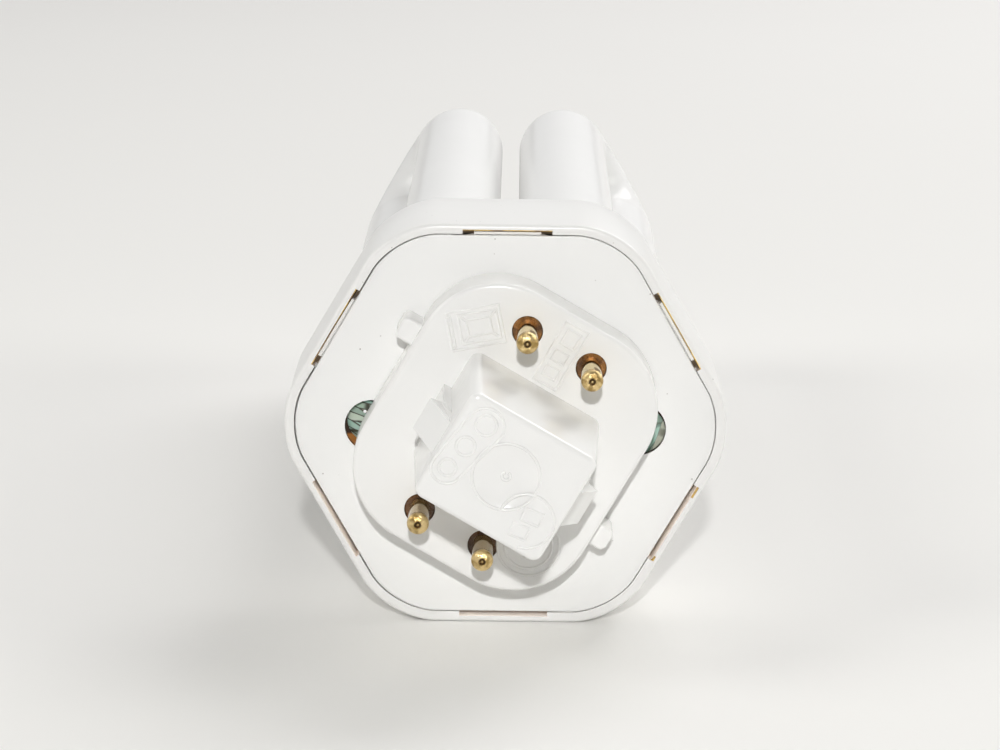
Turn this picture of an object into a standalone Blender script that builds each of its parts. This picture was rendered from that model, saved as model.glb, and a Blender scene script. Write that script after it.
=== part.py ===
"""Four pin compact fluorescent lamp with three bent glass tubes, lying on one flat of its housing.

Lengths are in metres.  The lamp is drawn about its own axis: in that frame +z points out of the
plug, +y is up, and z is 0 at the front face of the end cover.  One empty carries every piece and
turns that frame to the world's, where the plug points along -Y and the housing rests on z = 0.
"""
import math

import bmesh
import bpy
from mathutils import Matrix, Vector

# Clearances
SEAT_GAP = 0.0003            # between two pieces that touch
SLOT_SIDE_GAP = 0.00125      # beside each snap hook, in its slot
OVERRUN = 0.001              # how far a cutter runs past the face that it opens
OVERLAP = 0.0004             # how far one shape runs into the shape that it is fused to

# Housing: a hexagonal cup, open to the front
HOUSING_FLATS = 0.0450
HOUSING_CORNER_RADIUS = 0.0095
HOUSING_DEPTH = 0.0170
HOUSING_WALL = 0.0016
HOUSING_EDGE_RADIUS = 0.0004
REAR_WALL = 0.0018
RIM_WIDTH = 0.00112          # front rim, between the outside and the cover's pocket
RIM_PROUD = 0.00015          # how far the rim stands in front of the cover

# End cover: a hexagonal plate with six snap hooks
COVER_THICKNESS = 0.0015
COVER_EDGE_RADIUS = 0.00012
COVER_HOLE_RADIUS = 0.00285
COVER_HOLE_SHIFT = 0.0004    # how much further out than the leg behind it each hole is
WINDOW_MARGIN_LONG = 0.0015  # opening for the lead wires, past the pins' centres
WINDOW_MARGIN_WIDE = 0.0025
WINDOW_CORNER_RADIUS = 0.0020

# Snap hooks of the cover and the slots that they spring into
HOOK_WIDTH = 0.0073
HOOK_THICKNESS = 0.0010
HOOK_HEAD_REACH = 0.00045    # how far a hook's head stands out past the cover's edge
HOOK_HEAD_RECESS = 0.0007    # how far the head lies behind the cover's face
HOOK_HEAD_DEPTH = 0.0029
HOOK_BARB = 0.0008
HOOK_BARB_HEIGHT = 0.0006
HOOK_BARB_RAMP = 0.0011
CATCH_BAR = 0.0008           # bar of the housing that each barb holds on to

# Plug: raised rectangular boss, hollow from behind
PLUG_ANGLE = math.radians(60)
PLUG_END_MARGIN = 0.0041     # from the pins' centres to the plug's short sides
PLUG_HALF_WIDE = 0.0139
PLUG_CORNER_RADIUS = 0.0090
PLUG_HEIGHT = 0.0062
PLUG_WALL = 0.0016
PLUG_FACE_WALL = 0.0018
PLUG_EDGE_RADIUS = 0.0005

# Post: the tall key in the middle of the plug
POST_HEIGHT = 0.0168
POST_BASE_LONG = 0.0158
POST_BASE_WIDE = 0.0139
POST_TOP_LONG = 0.0149
POST_TOP_WIDE = 0.01226
POST_CORNER_RADIUS = 0.0010
POST_EDGE_RADIUS = 0.00025
POST_WALL = 0.0014

# Two ramped latches on the post, each carried by a wider rib
LATCH_WIDTH = 0.0038
LATCH_OFFSET = 0.0004        # latch's middle, from the middle of the post's side
LATCH_REACH = 0.00207
LATCH_RAMP = 0.0059
LATCH_TOP_DROP = 0.0031      # from the post's end down to the start of the ramp
LATCH_HEEL = 0.0008
RIB_WIDTH = 0.0047
RIB_REACH = 0.00085

# Two key lugs at the plug's foot
LUG_WIDTH = 0.0026
LUG_OFFSET = 0.0046
LUG_REACH = 0.0021
LUG_HEIGHT = 0.0043
LUG_CORNER_RADIUS = 0.0007

# Snap legs that hold the plug to the cover
LEG_WIDTH = 0.0034
LEG_THICKNESS = 0.0011
LEG_SIDE_GAP = 0.0004
LEG_BARB = 0.0006
LEG_TAIL = 0.0014

# Contact pins
PIN_SPACING_LONG = 0.0230
PIN_SPACING_SHORT = 0.0080
PIN_RADIUS = 0.001175
PIN_LENGTH = 0.0068          # in front of the plug's face
PIN_TIP_RADIUS = 0.00052
PIN_DIMPLE_RADIUS = 0.00042
PIN_DIMPLE_DEPTH = 0.00035
PIN_COLLAR_RADIUS = 0.00145
PIN_COLLAR_HEIGHT = 0.0006
PIN_SHANK_RADIUS = 0.0010
PIN_RIVET_RADIUS = 0.0017
PIN_RIVET_HEIGHT = 0.0004
PIN_TAIL_RADIUS = 0.0009
PIN_TAIL_LENGTH = 0.0007
PIN_TAIL_HOLE_DEPTH = 0.0012
WELL_RADIUS = 0.00168
WELL_DEPTH = 0.0016
BOSS_RADIUS = 0.0027
BOSS_HEIGHT = 0.0029

# Discharge tube: three U bends fused into one vessel, as wide as the housing takes
LEG_GAP = 0.0024             # between neighbouring legs
LEG_WALL_GAP = 0.00243       # from each leg to the housing's inside
TUBE_REACH = 0.1284          # from the cover's face to the far end of the bends
LEG_END = 0.0084             # depth behind the cover's face where a leg's seal starts
SEAL_STEP = 0.0001
SEAL_LENGTH = 0.0026
SEAL_INSERTION = 0.0020
PINCH_WIDTH = 0.0088
PINCH_THICKNESS = 0.0030
PINCH_TOP = 0.0042
PINCH_EDGE_RADIUS = 0.0006
TIP_RADIUS = 0.0021           # rounded tips that show in the cover's two holes
TIP_TOP = 0.0024
BRIDGE_RADIUS = 0.0034
BRIDGE_DISTANCE = 0.0062     # behind the housing
CEMENT_THICKNESS = 0.0040

# Lead wires
WIRE_RADIUS = 0.00025
WIRE_SPACING = 0.0068        # the two leads of one pinch
WIRE_INSERTION = 0.0008      # into the pin's tail
WIRE_RUN_DEPTH = 0.0029      # where the wires cross behind the cover
INNER_WIRE_DETOUR = 0.0037   # how much nearer to the axis the longer wire of a pinch runs
WIRE_STEPS = 3

# Fineness of the round shapes
CORNER_SEGMENTS = 6
SMALL_CORNER_SEGMENTS = 3
EDGE_SEGMENTS = 2
ROUND_SEGMENTS = 24
PIN_SEGMENTS = 16
TUBE_SECTION_RESOLUTION = 10
WIRE_SECTION_RESOLUTION = 2
BEND_SEGMENTS = 12
SEAL_SEGMENTS = 4

# Worked out from the sizes above
SIDE_ANGLES = [math.radians(30 + 60 * side) for side in range(6)]
LEG_ANGLES = [math.radians(60 * leg) for leg in range(6)]
HEXAGON_RATIO = math.cos(math.radians(30))
HOUSING_APOTHEM = HOUSING_FLATS / 2
POCKET_APOTHEM = HOUSING_APOTHEM - RIM_WIDTH
POCKET_CORNER_RADIUS = HOUSING_CORNER_RADIUS - RIM_WIDTH
CAVITY_APOTHEM = HOUSING_APOTHEM - HOUSING_WALL
CAVITY_CORNER_RADIUS = HOUSING_CORNER_RADIUS - HOUSING_WALL
COVER_APOTHEM = POCKET_APOTHEM - SEAT_GAP
COVER_CORNER_RADIUS = POCKET_CORNER_RADIUS - SEAT_GAP
LEDGE_DEPTH = COVER_THICKNESS + SEAT_GAP
HOOK_OUTSIDE = CAVITY_APOTHEM - SEAT_GAP
HOOK_HEAD_OUTSIDE = COVER_APOTHEM + HOOK_HEAD_REACH
SLOT_APOTHEM = HOOK_HEAD_OUTSIDE + SEAT_GAP
SLOT_LENGTH = HOOK_WIDTH + 2 * SLOT_SIDE_GAP
SLOT_DEPTH = HOOK_HEAD_DEPTH + SEAT_GAP
CATCH_DEPTH = SLOT_DEPTH + CATCH_BAR
HOOK_CATCH_DEPTH = CATCH_DEPTH + SEAT_GAP
HOOK_TIP_DEPTH = HOOK_CATCH_DEPTH + HOOK_BARB_HEIGHT + HOOK_BARB_RAMP
CATCH_APOTHEM = HOOK_OUTSIDE + HOOK_BARB + SEAT_GAP
TUBE_RADIUS = ((CAVITY_APOTHEM - LEG_WALL_GAP - LEG_GAP * HEXAGON_RATIO)
               / (1 + 2 * HEXAGON_RATIO))
TUBE_CIRCLE_RADIUS = 2 * TUBE_RADIUS + LEG_GAP
COVER_HOLE_CENTRE = TUBE_CIRCLE_RADIUS + COVER_HOLE_SHIFT
PLUG_HALF_LONG = PIN_SPACING_LONG / 2 + PLUG_END_MARGIN
WINDOW_HALF_LONG = PIN_SPACING_LONG / 2 + WINDOW_MARGIN_LONG
WINDOW_HALF_WIDE = PIN_SPACING_SHORT / 2 + WINDOW_MARGIN_WIDE
WELL_FLOOR = PLUG_HEIGHT - WELL_DEPTH
POST_END = PLUG_HEIGHT + POST_HEIGHT
PIN_TIP = PLUG_HEIGHT + PIN_LENGTH
BOSS_END = PLUG_HEIGHT - PLUG_FACE_WALL - BOSS_HEIGHT
BORE_RADIUS = PIN_SHANK_RADIUS + SEAT_GAP
PIN_TAIL_HOLE_RADIUS = WIRE_RADIUS + SEAT_GAP
BEND_RADIUS = TUBE_CIRCLE_RADIUS * math.sin(math.radians(30))
BEND_START = TUBE_REACH - TUBE_RADIUS - BEND_RADIUS
LEG_HOLE_RADIUS = TUBE_RADIUS + SEAT_GAP
AXIS_HEIGHT = HOUSING_APOTHEM
LAMP_LENGTH = TUBE_REACH + POST_END


def clear_scene():
    """Remove whatever the scene holds, and make the two collections."""
    for item in list(bpy.data.objects):
        bpy.data.objects.remove(item, do_unlink=True)
    found = {}
    for name in ("compact_fluorescent_lamp", "cutters"):
        group = bpy.data.collections.new(name)
        bpy.context.scene.collection.children.link(group)
        found[name] = group
    return found["compact_fluorescent_lamp"], found["cutters"]


PARTS, CUTTERS = clear_scene()


def make_axis_empty():
    """The lamp's own axis: its +z points out of the plug, along the world's -Y."""
    empty = bpy.data.objects.new("lamp_axis", None)
    empty.empty_display_size = HOUSING_APOTHEM
    empty.location = (0.0, POST_END - LAMP_LENGTH / 2, AXIS_HEIGHT)
    empty.rotation_euler = (math.radians(90), 0.0, 0.0)
    PARTS.objects.link(empty)
    return empty


AXIS = make_axis_empty()


def make_material(name, colour, roughness, metallic=0.0):
    """One Principled material."""
    material = bpy.data.materials.new(name)
    material.use_nodes = True
    shader = material.node_tree.nodes["Principled BSDF"]
    shader.inputs["Base Color"].default_value = (*colour, 1.0)
    shader.inputs["Roughness"].default_value = roughness
    shader.inputs["Metallic"].default_value = metallic
    material.diffuse_color = (*colour, 1.0)
    return material


def add_part(name, mesh, material, smooth_angle=30):
    """Link a mesh as one piece of the lamp, on the lamp's axis."""
    piece = bpy.data.objects.new(name, mesh)
    PARTS.objects.link(piece)
    piece.parent = AXIS
    mesh.materials.clear()
    mesh.materials.append(material)
    mesh.shade_smooth()
    mesh.set_sharp_from_angle(angle=math.radians(smooth_angle))
    return piece


def add_cutter(name, mesh):
    """Link a mesh that is only cut away from a piece or fused to it."""
    cutter = bpy.data.objects.new(name, mesh)
    CUTTERS.objects.link(cutter)
    cutter.parent = AXIS
    cutter.hide_render = True
    cutter.display_type = "WIRE"
    return cutter


def combine(piece, cutter, operation):
    """Add a Boolean with a cutter: DIFFERENCE cuts it away, UNION fuses it on."""
    change = piece.modifiers.new(f"{operation.lower()}_{cutter.name}", "BOOLEAN")
    change.operation = operation
    change.solver = "EXACT"
    change.object = cutter


def finish_mesh(name, shape):
    """Turn a bmesh into a mesh with its faces pointing out."""
    bmesh.ops.recalc_face_normals(shape, faces=shape.faces)
    mesh = bpy.data.meshes.new(name)
    shape.to_mesh(mesh)
    shape.free()
    return mesh


def join_meshes(name, meshes_and_places):
    """One mesh that holds each given mesh at its place."""
    shape = bmesh.new()
    for mesh, place in meshes_and_places:
        copy = bmesh.new()
        copy.from_mesh(mesh)
        bmesh.ops.transform(copy, matrix=place, verts=copy.verts)
        moved = bpy.data.meshes.new(name + "_copy")
        copy.to_mesh(moved)
        copy.free()
        shape.from_mesh(moved)
        bpy.data.meshes.remove(moved)
    return finish_mesh(name, shape)


def round_edges(shape, edges, radius, segments, corner=math.radians(90)):
    """Fillet edges: the tangent length of a fillet depends on the corner's inside angle."""
    tangent = radius / math.tan(corner / 2)
    bmesh.ops.bevel(shape, geom=edges, offset=tangent, offset_type="OFFSET", segments=segments,
                    profile=0.5, affect="EDGES", clamp_overlap=False)


def long_edges(shape, bottom, top):
    """The edges that run from a prism's bottom to its top."""
    middle = (bottom + top) / 2
    return [edge for edge in shape.edges
            if min(v.co.z for v in edge.verts) < middle < max(v.co.z for v in edge.verts)]


def rim_edges(shape, height):
    """The edges that lie at one height."""
    near = SEAT_GAP / 10
    return [edge for edge in shape.edges if all(abs(v.co.z - height) < near for v in edge.verts)]


def hexagon_prism(name, apothem, corner_radius, bottom, top, edge_radius=0.0):
    """Prism on a hexagon with round corners, flat side down."""
    shape = bmesh.new()
    outer = apothem / HEXAGON_RATIO
    bmesh.ops.create_cone(shape, cap_ends=True, segments=6, radius1=outer, radius2=outer,
                          depth=top - bottom, matrix=Matrix.Translation((0, 0, (top + bottom) / 2)))
    shape.verts.ensure_lookup_table()
    first = shape.verts[0].co
    turn = Matrix.Rotation(-math.atan2(first.y, first.x), 4, "Z")
    bmesh.ops.transform(shape, matrix=turn, verts=shape.verts)
    round_edges(shape, long_edges(shape, bottom, top), corner_radius, CORNER_SEGMENTS,
                corner=math.radians(120))
    if edge_radius > 0:
        round_edges(shape, rim_edges(shape, top), edge_radius, EDGE_SEGMENTS)
        round_edges(shape, rim_edges(shape, bottom), edge_radius, EDGE_SEGMENTS)
    return finish_mesh(name, shape)


def rectangle_prism(name, half_x, half_y, corner_radius, bottom, top, top_half_x=None,
                    top_half_y=None, edge_radius=0.0, segments=CORNER_SEGMENTS):
    """Prism on a rectangle with round corners; its top may be a smaller rectangle."""
    shape = bmesh.new()
    place = Matrix.Translation((0, 0, (top + bottom) / 2))
    size = Matrix.Diagonal((2 * half_x, 2 * half_y, top - bottom, 1))
    bmesh.ops.create_cube(shape, size=1.0, matrix=place @ size)
    for corner in shape.verts:
        if corner.co.z > (top + bottom) / 2:
            corner.co.x *= (top_half_x or half_x) / half_x
            corner.co.y *= (top_half_y or half_y) / half_y
    if corner_radius > 0:
        round_edges(shape, long_edges(shape, bottom, top), corner_radius, segments)
    if edge_radius > 0:
        round_edges(shape, rim_edges(shape, top), edge_radius, EDGE_SEGMENTS)
    return finish_mesh(name, shape)


def cylinder(name, radius, bottom, top, segments=ROUND_SEGMENTS):
    """Round bar along z."""
    shape = bmesh.new()
    bmesh.ops.create_cone(shape, cap_ends=True, segments=segments, radius1=radius, radius2=radius,
                          depth=top - bottom, matrix=Matrix.Translation((0, 0, (top + bottom) / 2)))
    return finish_mesh(name, shape)


def evaluated_mesh(source, name):
    """The mesh that an object's curve or modifiers make, with its loose caps welded."""
    bpy.context.view_layer.update()
    graph = bpy.context.evaluated_depsgraph_get()
    mesh = bpy.data.meshes.new_from_object(source.evaluated_get(graph))
    shape = bmesh.new()
    shape.from_mesh(mesh)
    bmesh.ops.remove_doubles(shape, verts=shape.verts, dist=SEAT_GAP / 100)
    bpy.data.meshes.remove(mesh)
    bpy.data.objects.remove(source, do_unlink=True)
    return finish_mesh(name, shape)


def outline_prism(name, points, width):
    """Extrude an outline in the x-z plane by a width along y, centred on y = 0."""
    curve = bpy.data.curves.new(name, "CURVE")
    curve.dimensions = "2D"
    curve.fill_mode = "BOTH"
    curve.extrude = width / 2
    line = curve.splines.new("POLY")
    line.points.add(len(points) - 1)
    for point, (across, up) in zip(line.points, points):
        point.co = (across, up, 0.0, 1.0)
    line.use_cyclic_u = True
    source = bpy.data.objects.new(name, curve)
    CUTTERS.objects.link(source)
    mesh = evaluated_mesh(source, name)
    mesh.transform(Matrix.Rotation(math.radians(90), 4, "X"))
    return mesh


def turned(name, profile, segments):
    """Turn a profile of (radius, z) points, from the top down, about the z axis."""
    mesh = bpy.data.meshes.new(name)
    mesh.from_pydata([(radius, 0.0, z) for radius, z in profile],
                     [(i, i + 1) for i in range(len(profile) - 1)], [])
    source = bpy.data.objects.new(name, mesh)
    CUTTERS.objects.link(source)
    screw = source.modifiers.new("turn", "SCREW")
    screw.steps = segments
    screw.render_steps = segments
    screw.use_merge_vertices = True
    screw.merge_threshold = 0.00001
    screw.use_smooth_shade = True
    return evaluated_mesh(source, name)


def arc_points(centre, radius, start, end, segments):
    """Points of an arc in the (radius, z) plane."""
    angles = [start + (end - start) * step / segments for step in range(segments + 1)]
    return [(centre[0] + radius * math.cos(a), centre[1] + radius * math.sin(a)) for a in angles]


def turned_about(angle, distance=0.0):
    """Place at a distance from the axis, in one direction, facing outwards."""
    return Matrix.Rotation(angle, 4, "Z") @ Matrix.Translation((distance, 0, 0))


PLUG_TURN = Matrix.Rotation(PLUG_ANGLE, 4, "Z")


def plug_place(along, across):
    """A place in the plug's own directions: along its long side, then across it."""
    return PLUG_TURN @ Matrix.Translation((along, -across, 0))


def make_housing(material):
    """White moulded cup: pocket and ledge for the cover, six snap slots, six holes for the legs."""
    housing = add_part("housing", hexagon_prism(
        "housing", HOUSING_APOTHEM, HOUSING_CORNER_RADIUS, -HOUSING_DEPTH, RIM_PROUD,
        edge_radius=HOUSING_EDGE_RADIUS), material)
    front = RIM_PROUD + OVERRUN
    pocket = add_cutter("cover_pocket", hexagon_prism(
        "cover_pocket", POCKET_APOTHEM, POCKET_CORNER_RADIUS, -LEDGE_DEPTH, front))
    cavity = add_cutter("housing_cavity", hexagon_prism(
        "housing_cavity", CAVITY_APOTHEM, CAVITY_CORNER_RADIUS, REAR_WALL - HOUSING_DEPTH, front))
    slot = rectangle_prism("snap_slot", HOOK_THICKNESS, SLOT_LENGTH / 2, 0, -SLOT_DEPTH, front)
    catch_end = HOOK_TIP_DEPTH + SEAT_GAP
    catch = rectangle_prism("catch_slot", HOOK_THICKNESS, SLOT_LENGTH / 2, 0,
                            -catch_end, -CATCH_DEPTH)
    slots = [(slot, turned_about(angle, SLOT_APOTHEM - HOOK_THICKNESS)) for angle in SIDE_ANGLES]
    catches = [(catch, turned_about(angle, CATCH_APOTHEM - HOOK_THICKNESS)) for angle in SIDE_ANGLES]
    hole = cylinder("leg_hole", LEG_HOLE_RADIUS, -HOUSING_DEPTH - OVERRUN,
                    REAR_WALL - HOUSING_DEPTH + OVERRUN)
    holes = [(hole, turned_about(angle, TUBE_CIRCLE_RADIUS)) for angle in LEG_ANGLES]
    combine(housing, pocket, "DIFFERENCE")
    combine(housing, cavity, "DIFFERENCE")
    combine(housing, add_cutter("snap_slots", join_meshes("snap_slots", slots)), "DIFFERENCE")
    combine(housing, add_cutter("catch_slots", join_meshes("catch_slots", catches)), "DIFFERENCE")
    combine(housing, add_cutter("leg_holes", join_meshes("leg_holes", holes)), "DIFFERENCE")
    return housing


def hook_outline():
    """Side view of one snap hook, from its head in the slot to its barb behind the bar."""
    inside = HOOK_OUTSIDE - HOOK_THICKNESS
    barb = HOOK_OUTSIDE + HOOK_BARB
    return [
        (inside, -HOOK_HEAD_RECESS),
        (inside, -HOOK_TIP_DEPTH),
        (HOOK_OUTSIDE - HOOK_THICKNESS / 3, -HOOK_TIP_DEPTH),
        (barb, -HOOK_CATCH_DEPTH - HOOK_BARB_HEIGHT),
        (barb, -HOOK_CATCH_DEPTH),
        (HOOK_OUTSIDE, -HOOK_CATCH_DEPTH),
        (HOOK_OUTSIDE, -HOOK_HEAD_DEPTH),
        (HOOK_HEAD_OUTSIDE, -HOOK_HEAD_DEPTH),
        (HOOK_HEAD_OUTSIDE, -HOOK_HEAD_RECESS),
    ]


def make_end_cover(material):
    """Flat hexagonal cover with two round holes, the wire window and six snap hooks."""
    cover = add_part("end_cover", hexagon_prism(
        "end_cover", COVER_APOTHEM, COVER_CORNER_RADIUS, -COVER_THICKNESS, 0.0,
        edge_radius=COVER_EDGE_RADIUS), material)
    hook = outline_prism("snap_hook", hook_outline(), HOOK_WIDTH)
    hooks = [(hook, turned_about(angle)) for angle in SIDE_ANGLES]
    combine(cover, add_cutter("snap_hooks", join_meshes("snap_hooks", hooks)), "UNION")
    below = -COVER_THICKNESS - OVERRUN
    window = rectangle_prism("wire_window", WINDOW_HALF_LONG, WINDOW_HALF_WIDE,
                             WINDOW_CORNER_RADIUS, below, OVERRUN)
    hole = cylinder("cover_hole", COVER_HOLE_RADIUS, below, OVERRUN)
    side_slots = [(rectangle_prism(f"leg_slot_{index}", LEG_THICKNESS / 2 + SEAT_GAP,
                                   LEG_WIDTH / 2 + LEG_SIDE_GAP, 0, below, OVERRUN),
                   leg_place(index)) for index in range(4)]
    openings = [(window, PLUG_TURN)] + side_slots
    openings += [(hole, turned_about(angle, COVER_HOLE_CENTRE)) for angle in (0.0, math.pi)]
    combine(cover, add_cutter("cover_openings", join_meshes("cover_openings", openings)),
            "DIFFERENCE")
    return cover


def leg_place(index):
    """Middle of one of the plug's four snap legs, which stand under the middles of its walls."""
    half = PLUG_HALF_LONG if index % 2 == 0 else PLUG_HALF_WIDE
    distance = half - PLUG_WALL / 2
    return PLUG_TURN @ turned_about(math.radians(90 * index), distance)


def snap_leg_outline():
    """Side view of a snap leg; the barb at its end holds behind the cover."""
    half = LEG_THICKNESS / 2
    catch = -COVER_THICKNESS - SEAT_GAP
    return [
        (-half, SEAT_GAP + OVERLAP),
        (-half, catch - LEG_TAIL),
        (half / 2, catch - LEG_TAIL),
        (half + LEG_BARB, catch - LEG_TAIL / 2),
        (half + LEG_BARB, catch),
        (half, catch),
        (half, SEAT_GAP + OVERLAP),
    ]


def latch_meshes():
    """Ramp and rib of one latch, on the post's side that faces +x."""
    # The post's side leans in by the draft, so the shapes start inside its wall.
    root = POST_TOP_LONG / 2 - OVERLAP
    edge = POST_BASE_LONG / 2 + LATCH_REACH
    top = POST_END - LATCH_TOP_DROP
    crest = top - LATCH_RAMP
    heel = crest - LATCH_HEEL
    ramp = outline_prism("latch_ramp", [
        (root, top + OVERLAP), (root, heel), (edge - LATCH_REACH / 2, heel),
        (edge, crest), (POST_TOP_LONG / 2, top)], LATCH_WIDTH)
    ledge = POST_BASE_LONG / 2 + RIB_REACH
    rib = outline_prism("latch_rib", [
        (root, crest), (root, PLUG_HEIGHT - OVERLAP), (ledge, PLUG_HEIGHT - OVERLAP),
        (ledge, heel)], RIB_WIDTH)
    shift = Matrix.Translation((0, LATCH_OFFSET, 0))
    return [(ramp, shift), (rib, shift)]


def make_plug(material):
    """Raised plug with its post, latches, key lugs, pin wells and snap legs, hollow behind."""
    foot = SEAT_GAP
    plug_mesh = rectangle_prism("plug", PLUG_HALF_LONG, PLUG_HALF_WIDE, PLUG_CORNER_RADIUS,
                                foot, PLUG_HEIGHT, edge_radius=PLUG_EDGE_RADIUS)
    plug_mesh.transform(PLUG_TURN)
    plug = add_part("plug", plug_mesh, material)
    post = rectangle_prism("post", POST_BASE_WIDE / 2, POST_BASE_LONG / 2, POST_CORNER_RADIUS,
                           PLUG_HEIGHT - PLUG_FACE_WALL / 2, POST_END, POST_TOP_WIDE / 2,
                           POST_TOP_LONG / 2, edge_radius=POST_EDGE_RADIUS,
                           segments=SMALL_CORNER_SEGMENTS)
    combine(plug, add_cutter("post", join_meshes("post", [(post, PLUG_TURN)])), "UNION")
    ends = (math.radians(90), math.radians(-90))
    for number, mesh_and_shift in enumerate(latch_meshes()):
        mesh, shift = mesh_and_shift
        places = [(mesh, PLUG_TURN @ Matrix.Rotation(end, 4, "Z") @ shift) for end in ends]
        name = ("latch_ramps", "latch_ribs")[number]
        combine(plug, add_cutter(name, join_meshes(name, places)), "UNION")
    lug_length = LUG_REACH + PLUG_WALL / 2
    lug = rectangle_prism("key_lug", LUG_WIDTH / 2, lug_length / 2, LUG_CORNER_RADIUS,
                          foot, LUG_HEIGHT, edge_radius=PLUG_EDGE_RADIUS / 2,
                          segments=SMALL_CORNER_SEGMENTS)
    lug_distance = PLUG_HALF_WIDE + LUG_REACH - lug_length / 2
    lugs = [(lug, plug_place(LUG_OFFSET, -lug_distance)), (lug, plug_place(-LUG_OFFSET, lug_distance))]
    combine(plug, add_cutter("key_lugs", join_meshes("key_lugs", lugs)), "UNION")
    hollow_plug(plug)
    return plug


def hollow_plug(plug):
    """Hollow the plug from behind, then add its bosses and legs and drill it for the pins."""
    ceiling = PLUG_HEIGHT - PLUG_FACE_WALL
    cavity = rectangle_prism("plug_cavity", PLUG_HALF_LONG - PLUG_WALL, PLUG_HALF_WIDE - PLUG_WALL,
                             PLUG_CORNER_RADIUS - PLUG_WALL, SEAT_GAP - OVERRUN, ceiling)
    core = rectangle_prism("post_cavity", POST_BASE_WIDE / 2 - POST_WALL,
                           POST_BASE_LONG / 2 - POST_WALL, 0, ceiling - OVERLAP, POST_END - POST_WALL,
                           POST_TOP_WIDE / 2 - POST_WALL, POST_TOP_LONG / 2 - POST_WALL)
    for mesh in (cavity, core):
        mesh.transform(PLUG_TURN)
        combine(plug, add_cutter(mesh.name, mesh), "DIFFERENCE")
    boss = cylinder("pin_boss", BOSS_RADIUS, BOSS_END, ceiling + OVERLAP)
    combine(plug, add_cutter("pin_bosses", join_meshes(
        "pin_bosses", [(boss, place) for place in pin_places()])), "UNION")
    leg = outline_prism("snap_leg", snap_leg_outline(), LEG_WIDTH)
    legs = [(leg, leg_place(index)) for index in range(4)]
    combine(plug, add_cutter("snap_legs", join_meshes("snap_legs", legs)), "UNION")
    bore = cylinder("pin_bore", BORE_RADIUS, BOSS_END - OVERRUN, WELL_FLOOR + OVERRUN)
    well = cylinder("pin_well", WELL_RADIUS, WELL_FLOOR, PLUG_HEIGHT + OVERRUN)
    for name, mesh in (("pin_bores", bore), ("pin_wells", well)):
        places = [(mesh, place) for place in pin_places()]
        combine(plug, add_cutter(name, join_meshes(name, places)), "DIFFERENCE")


def pin_places():
    """The four pins, on a long rectangle: first the upper pair, then the lower."""
    half_long = PIN_SPACING_LONG / 2
    half_short = PIN_SPACING_SHORT / 2
    return [plug_place(along, across) for along in (half_long, -half_long)
            for across in (-half_short, half_short)]


def pin_profile():
    """Half section of a contact pin, from its dimpled tip down to its hollow tail."""
    collar_foot = WELL_FLOOR + SEAT_GAP
    collar_top = collar_foot + PIN_COLLAR_HEIGHT
    rivet_top = BOSS_END - SEAT_GAP
    rivet_foot = rivet_top - PIN_RIVET_HEIGHT
    tail_end = rivet_foot - PIN_TAIL_LENGTH
    tip_centre = (PIN_RADIUS - PIN_TIP_RADIUS, PIN_TIP - PIN_TIP_RADIUS)
    profile = [(0.0, PIN_TIP - PIN_DIMPLE_DEPTH), (PIN_DIMPLE_RADIUS / 2, PIN_TIP - PIN_DIMPLE_DEPTH),
               (PIN_DIMPLE_RADIUS, PIN_TIP)]
    profile += arc_points(tip_centre, PIN_TIP_RADIUS, math.radians(90), 0.0, EDGE_SEGMENTS + 1)
    profile += [
        (PIN_RADIUS, collar_top),
        (PIN_COLLAR_RADIUS, collar_top),
        (PIN_COLLAR_RADIUS, collar_foot),
        (PIN_SHANK_RADIUS, collar_foot),
        (PIN_SHANK_RADIUS, rivet_top),
        (PIN_RIVET_RADIUS, rivet_top),
        (PIN_RIVET_RADIUS, rivet_foot),
        (PIN_TAIL_RADIUS, rivet_foot),
        (PIN_TAIL_RADIUS, tail_end),
        (PIN_TAIL_HOLE_RADIUS, tail_end),
        (PIN_TAIL_HOLE_RADIUS, tail_end + PIN_TAIL_HOLE_DEPTH),
        (0.0, tail_end + PIN_TAIL_HOLE_DEPTH),
    ]
    return profile, tail_end


def make_pins(material):
    """Four brass contact pins that share one turned mesh."""
    profile, tail_end = pin_profile()
    mesh = turned("contact_pin", profile, PIN_SEGMENTS)
    for number, place in enumerate(pin_places(), start=1):
        pin = add_part(f"contact_pin_{number}", mesh, material)
        pin.location = place.translation
    return tail_end


def tube_path(first, second):
    """Middle line of one U: up one leg, round the bend and back down the other."""
    near = Vector((math.cos(first), math.sin(first), 0)) * TUBE_CIRCLE_RADIUS
    far = Vector((math.cos(second), math.sin(second), 0)) * TUBE_CIRCLE_RADIUS
    middle = (near + far) / 2
    half = (near - far) / 2
    points = [near + Vector((0, 0, -LEG_END))]
    for step in range(BEND_SEGMENTS + 1):
        turn = math.pi * step / BEND_SEGMENTS
        drop = BEND_START + BEND_RADIUS * math.sin(turn)
        points.append(middle + half * math.cos(turn) + Vector((0, 0, -drop)))
    points.append(far + Vector((0, 0, -LEG_END)))
    return points


def bent_bar(name, points, radius, section_resolution):
    """Round bar along a line of points, as a mesh."""
    curve = bpy.data.curves.new(name, "CURVE")
    curve.dimensions = "3D"
    curve.bevel_depth = radius
    curve.bevel_resolution = section_resolution
    curve.use_fill_caps = True
    line = curve.splines.new("POLY")
    line.points.add(len(points) - 1)
    for point, place in zip(line.points, points):
        point.co = (*place, 1.0)
    source = bpy.data.objects.new(name, curve)
    CUTTERS.objects.link(source)
    return evaluated_mesh(source, name)


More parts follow.
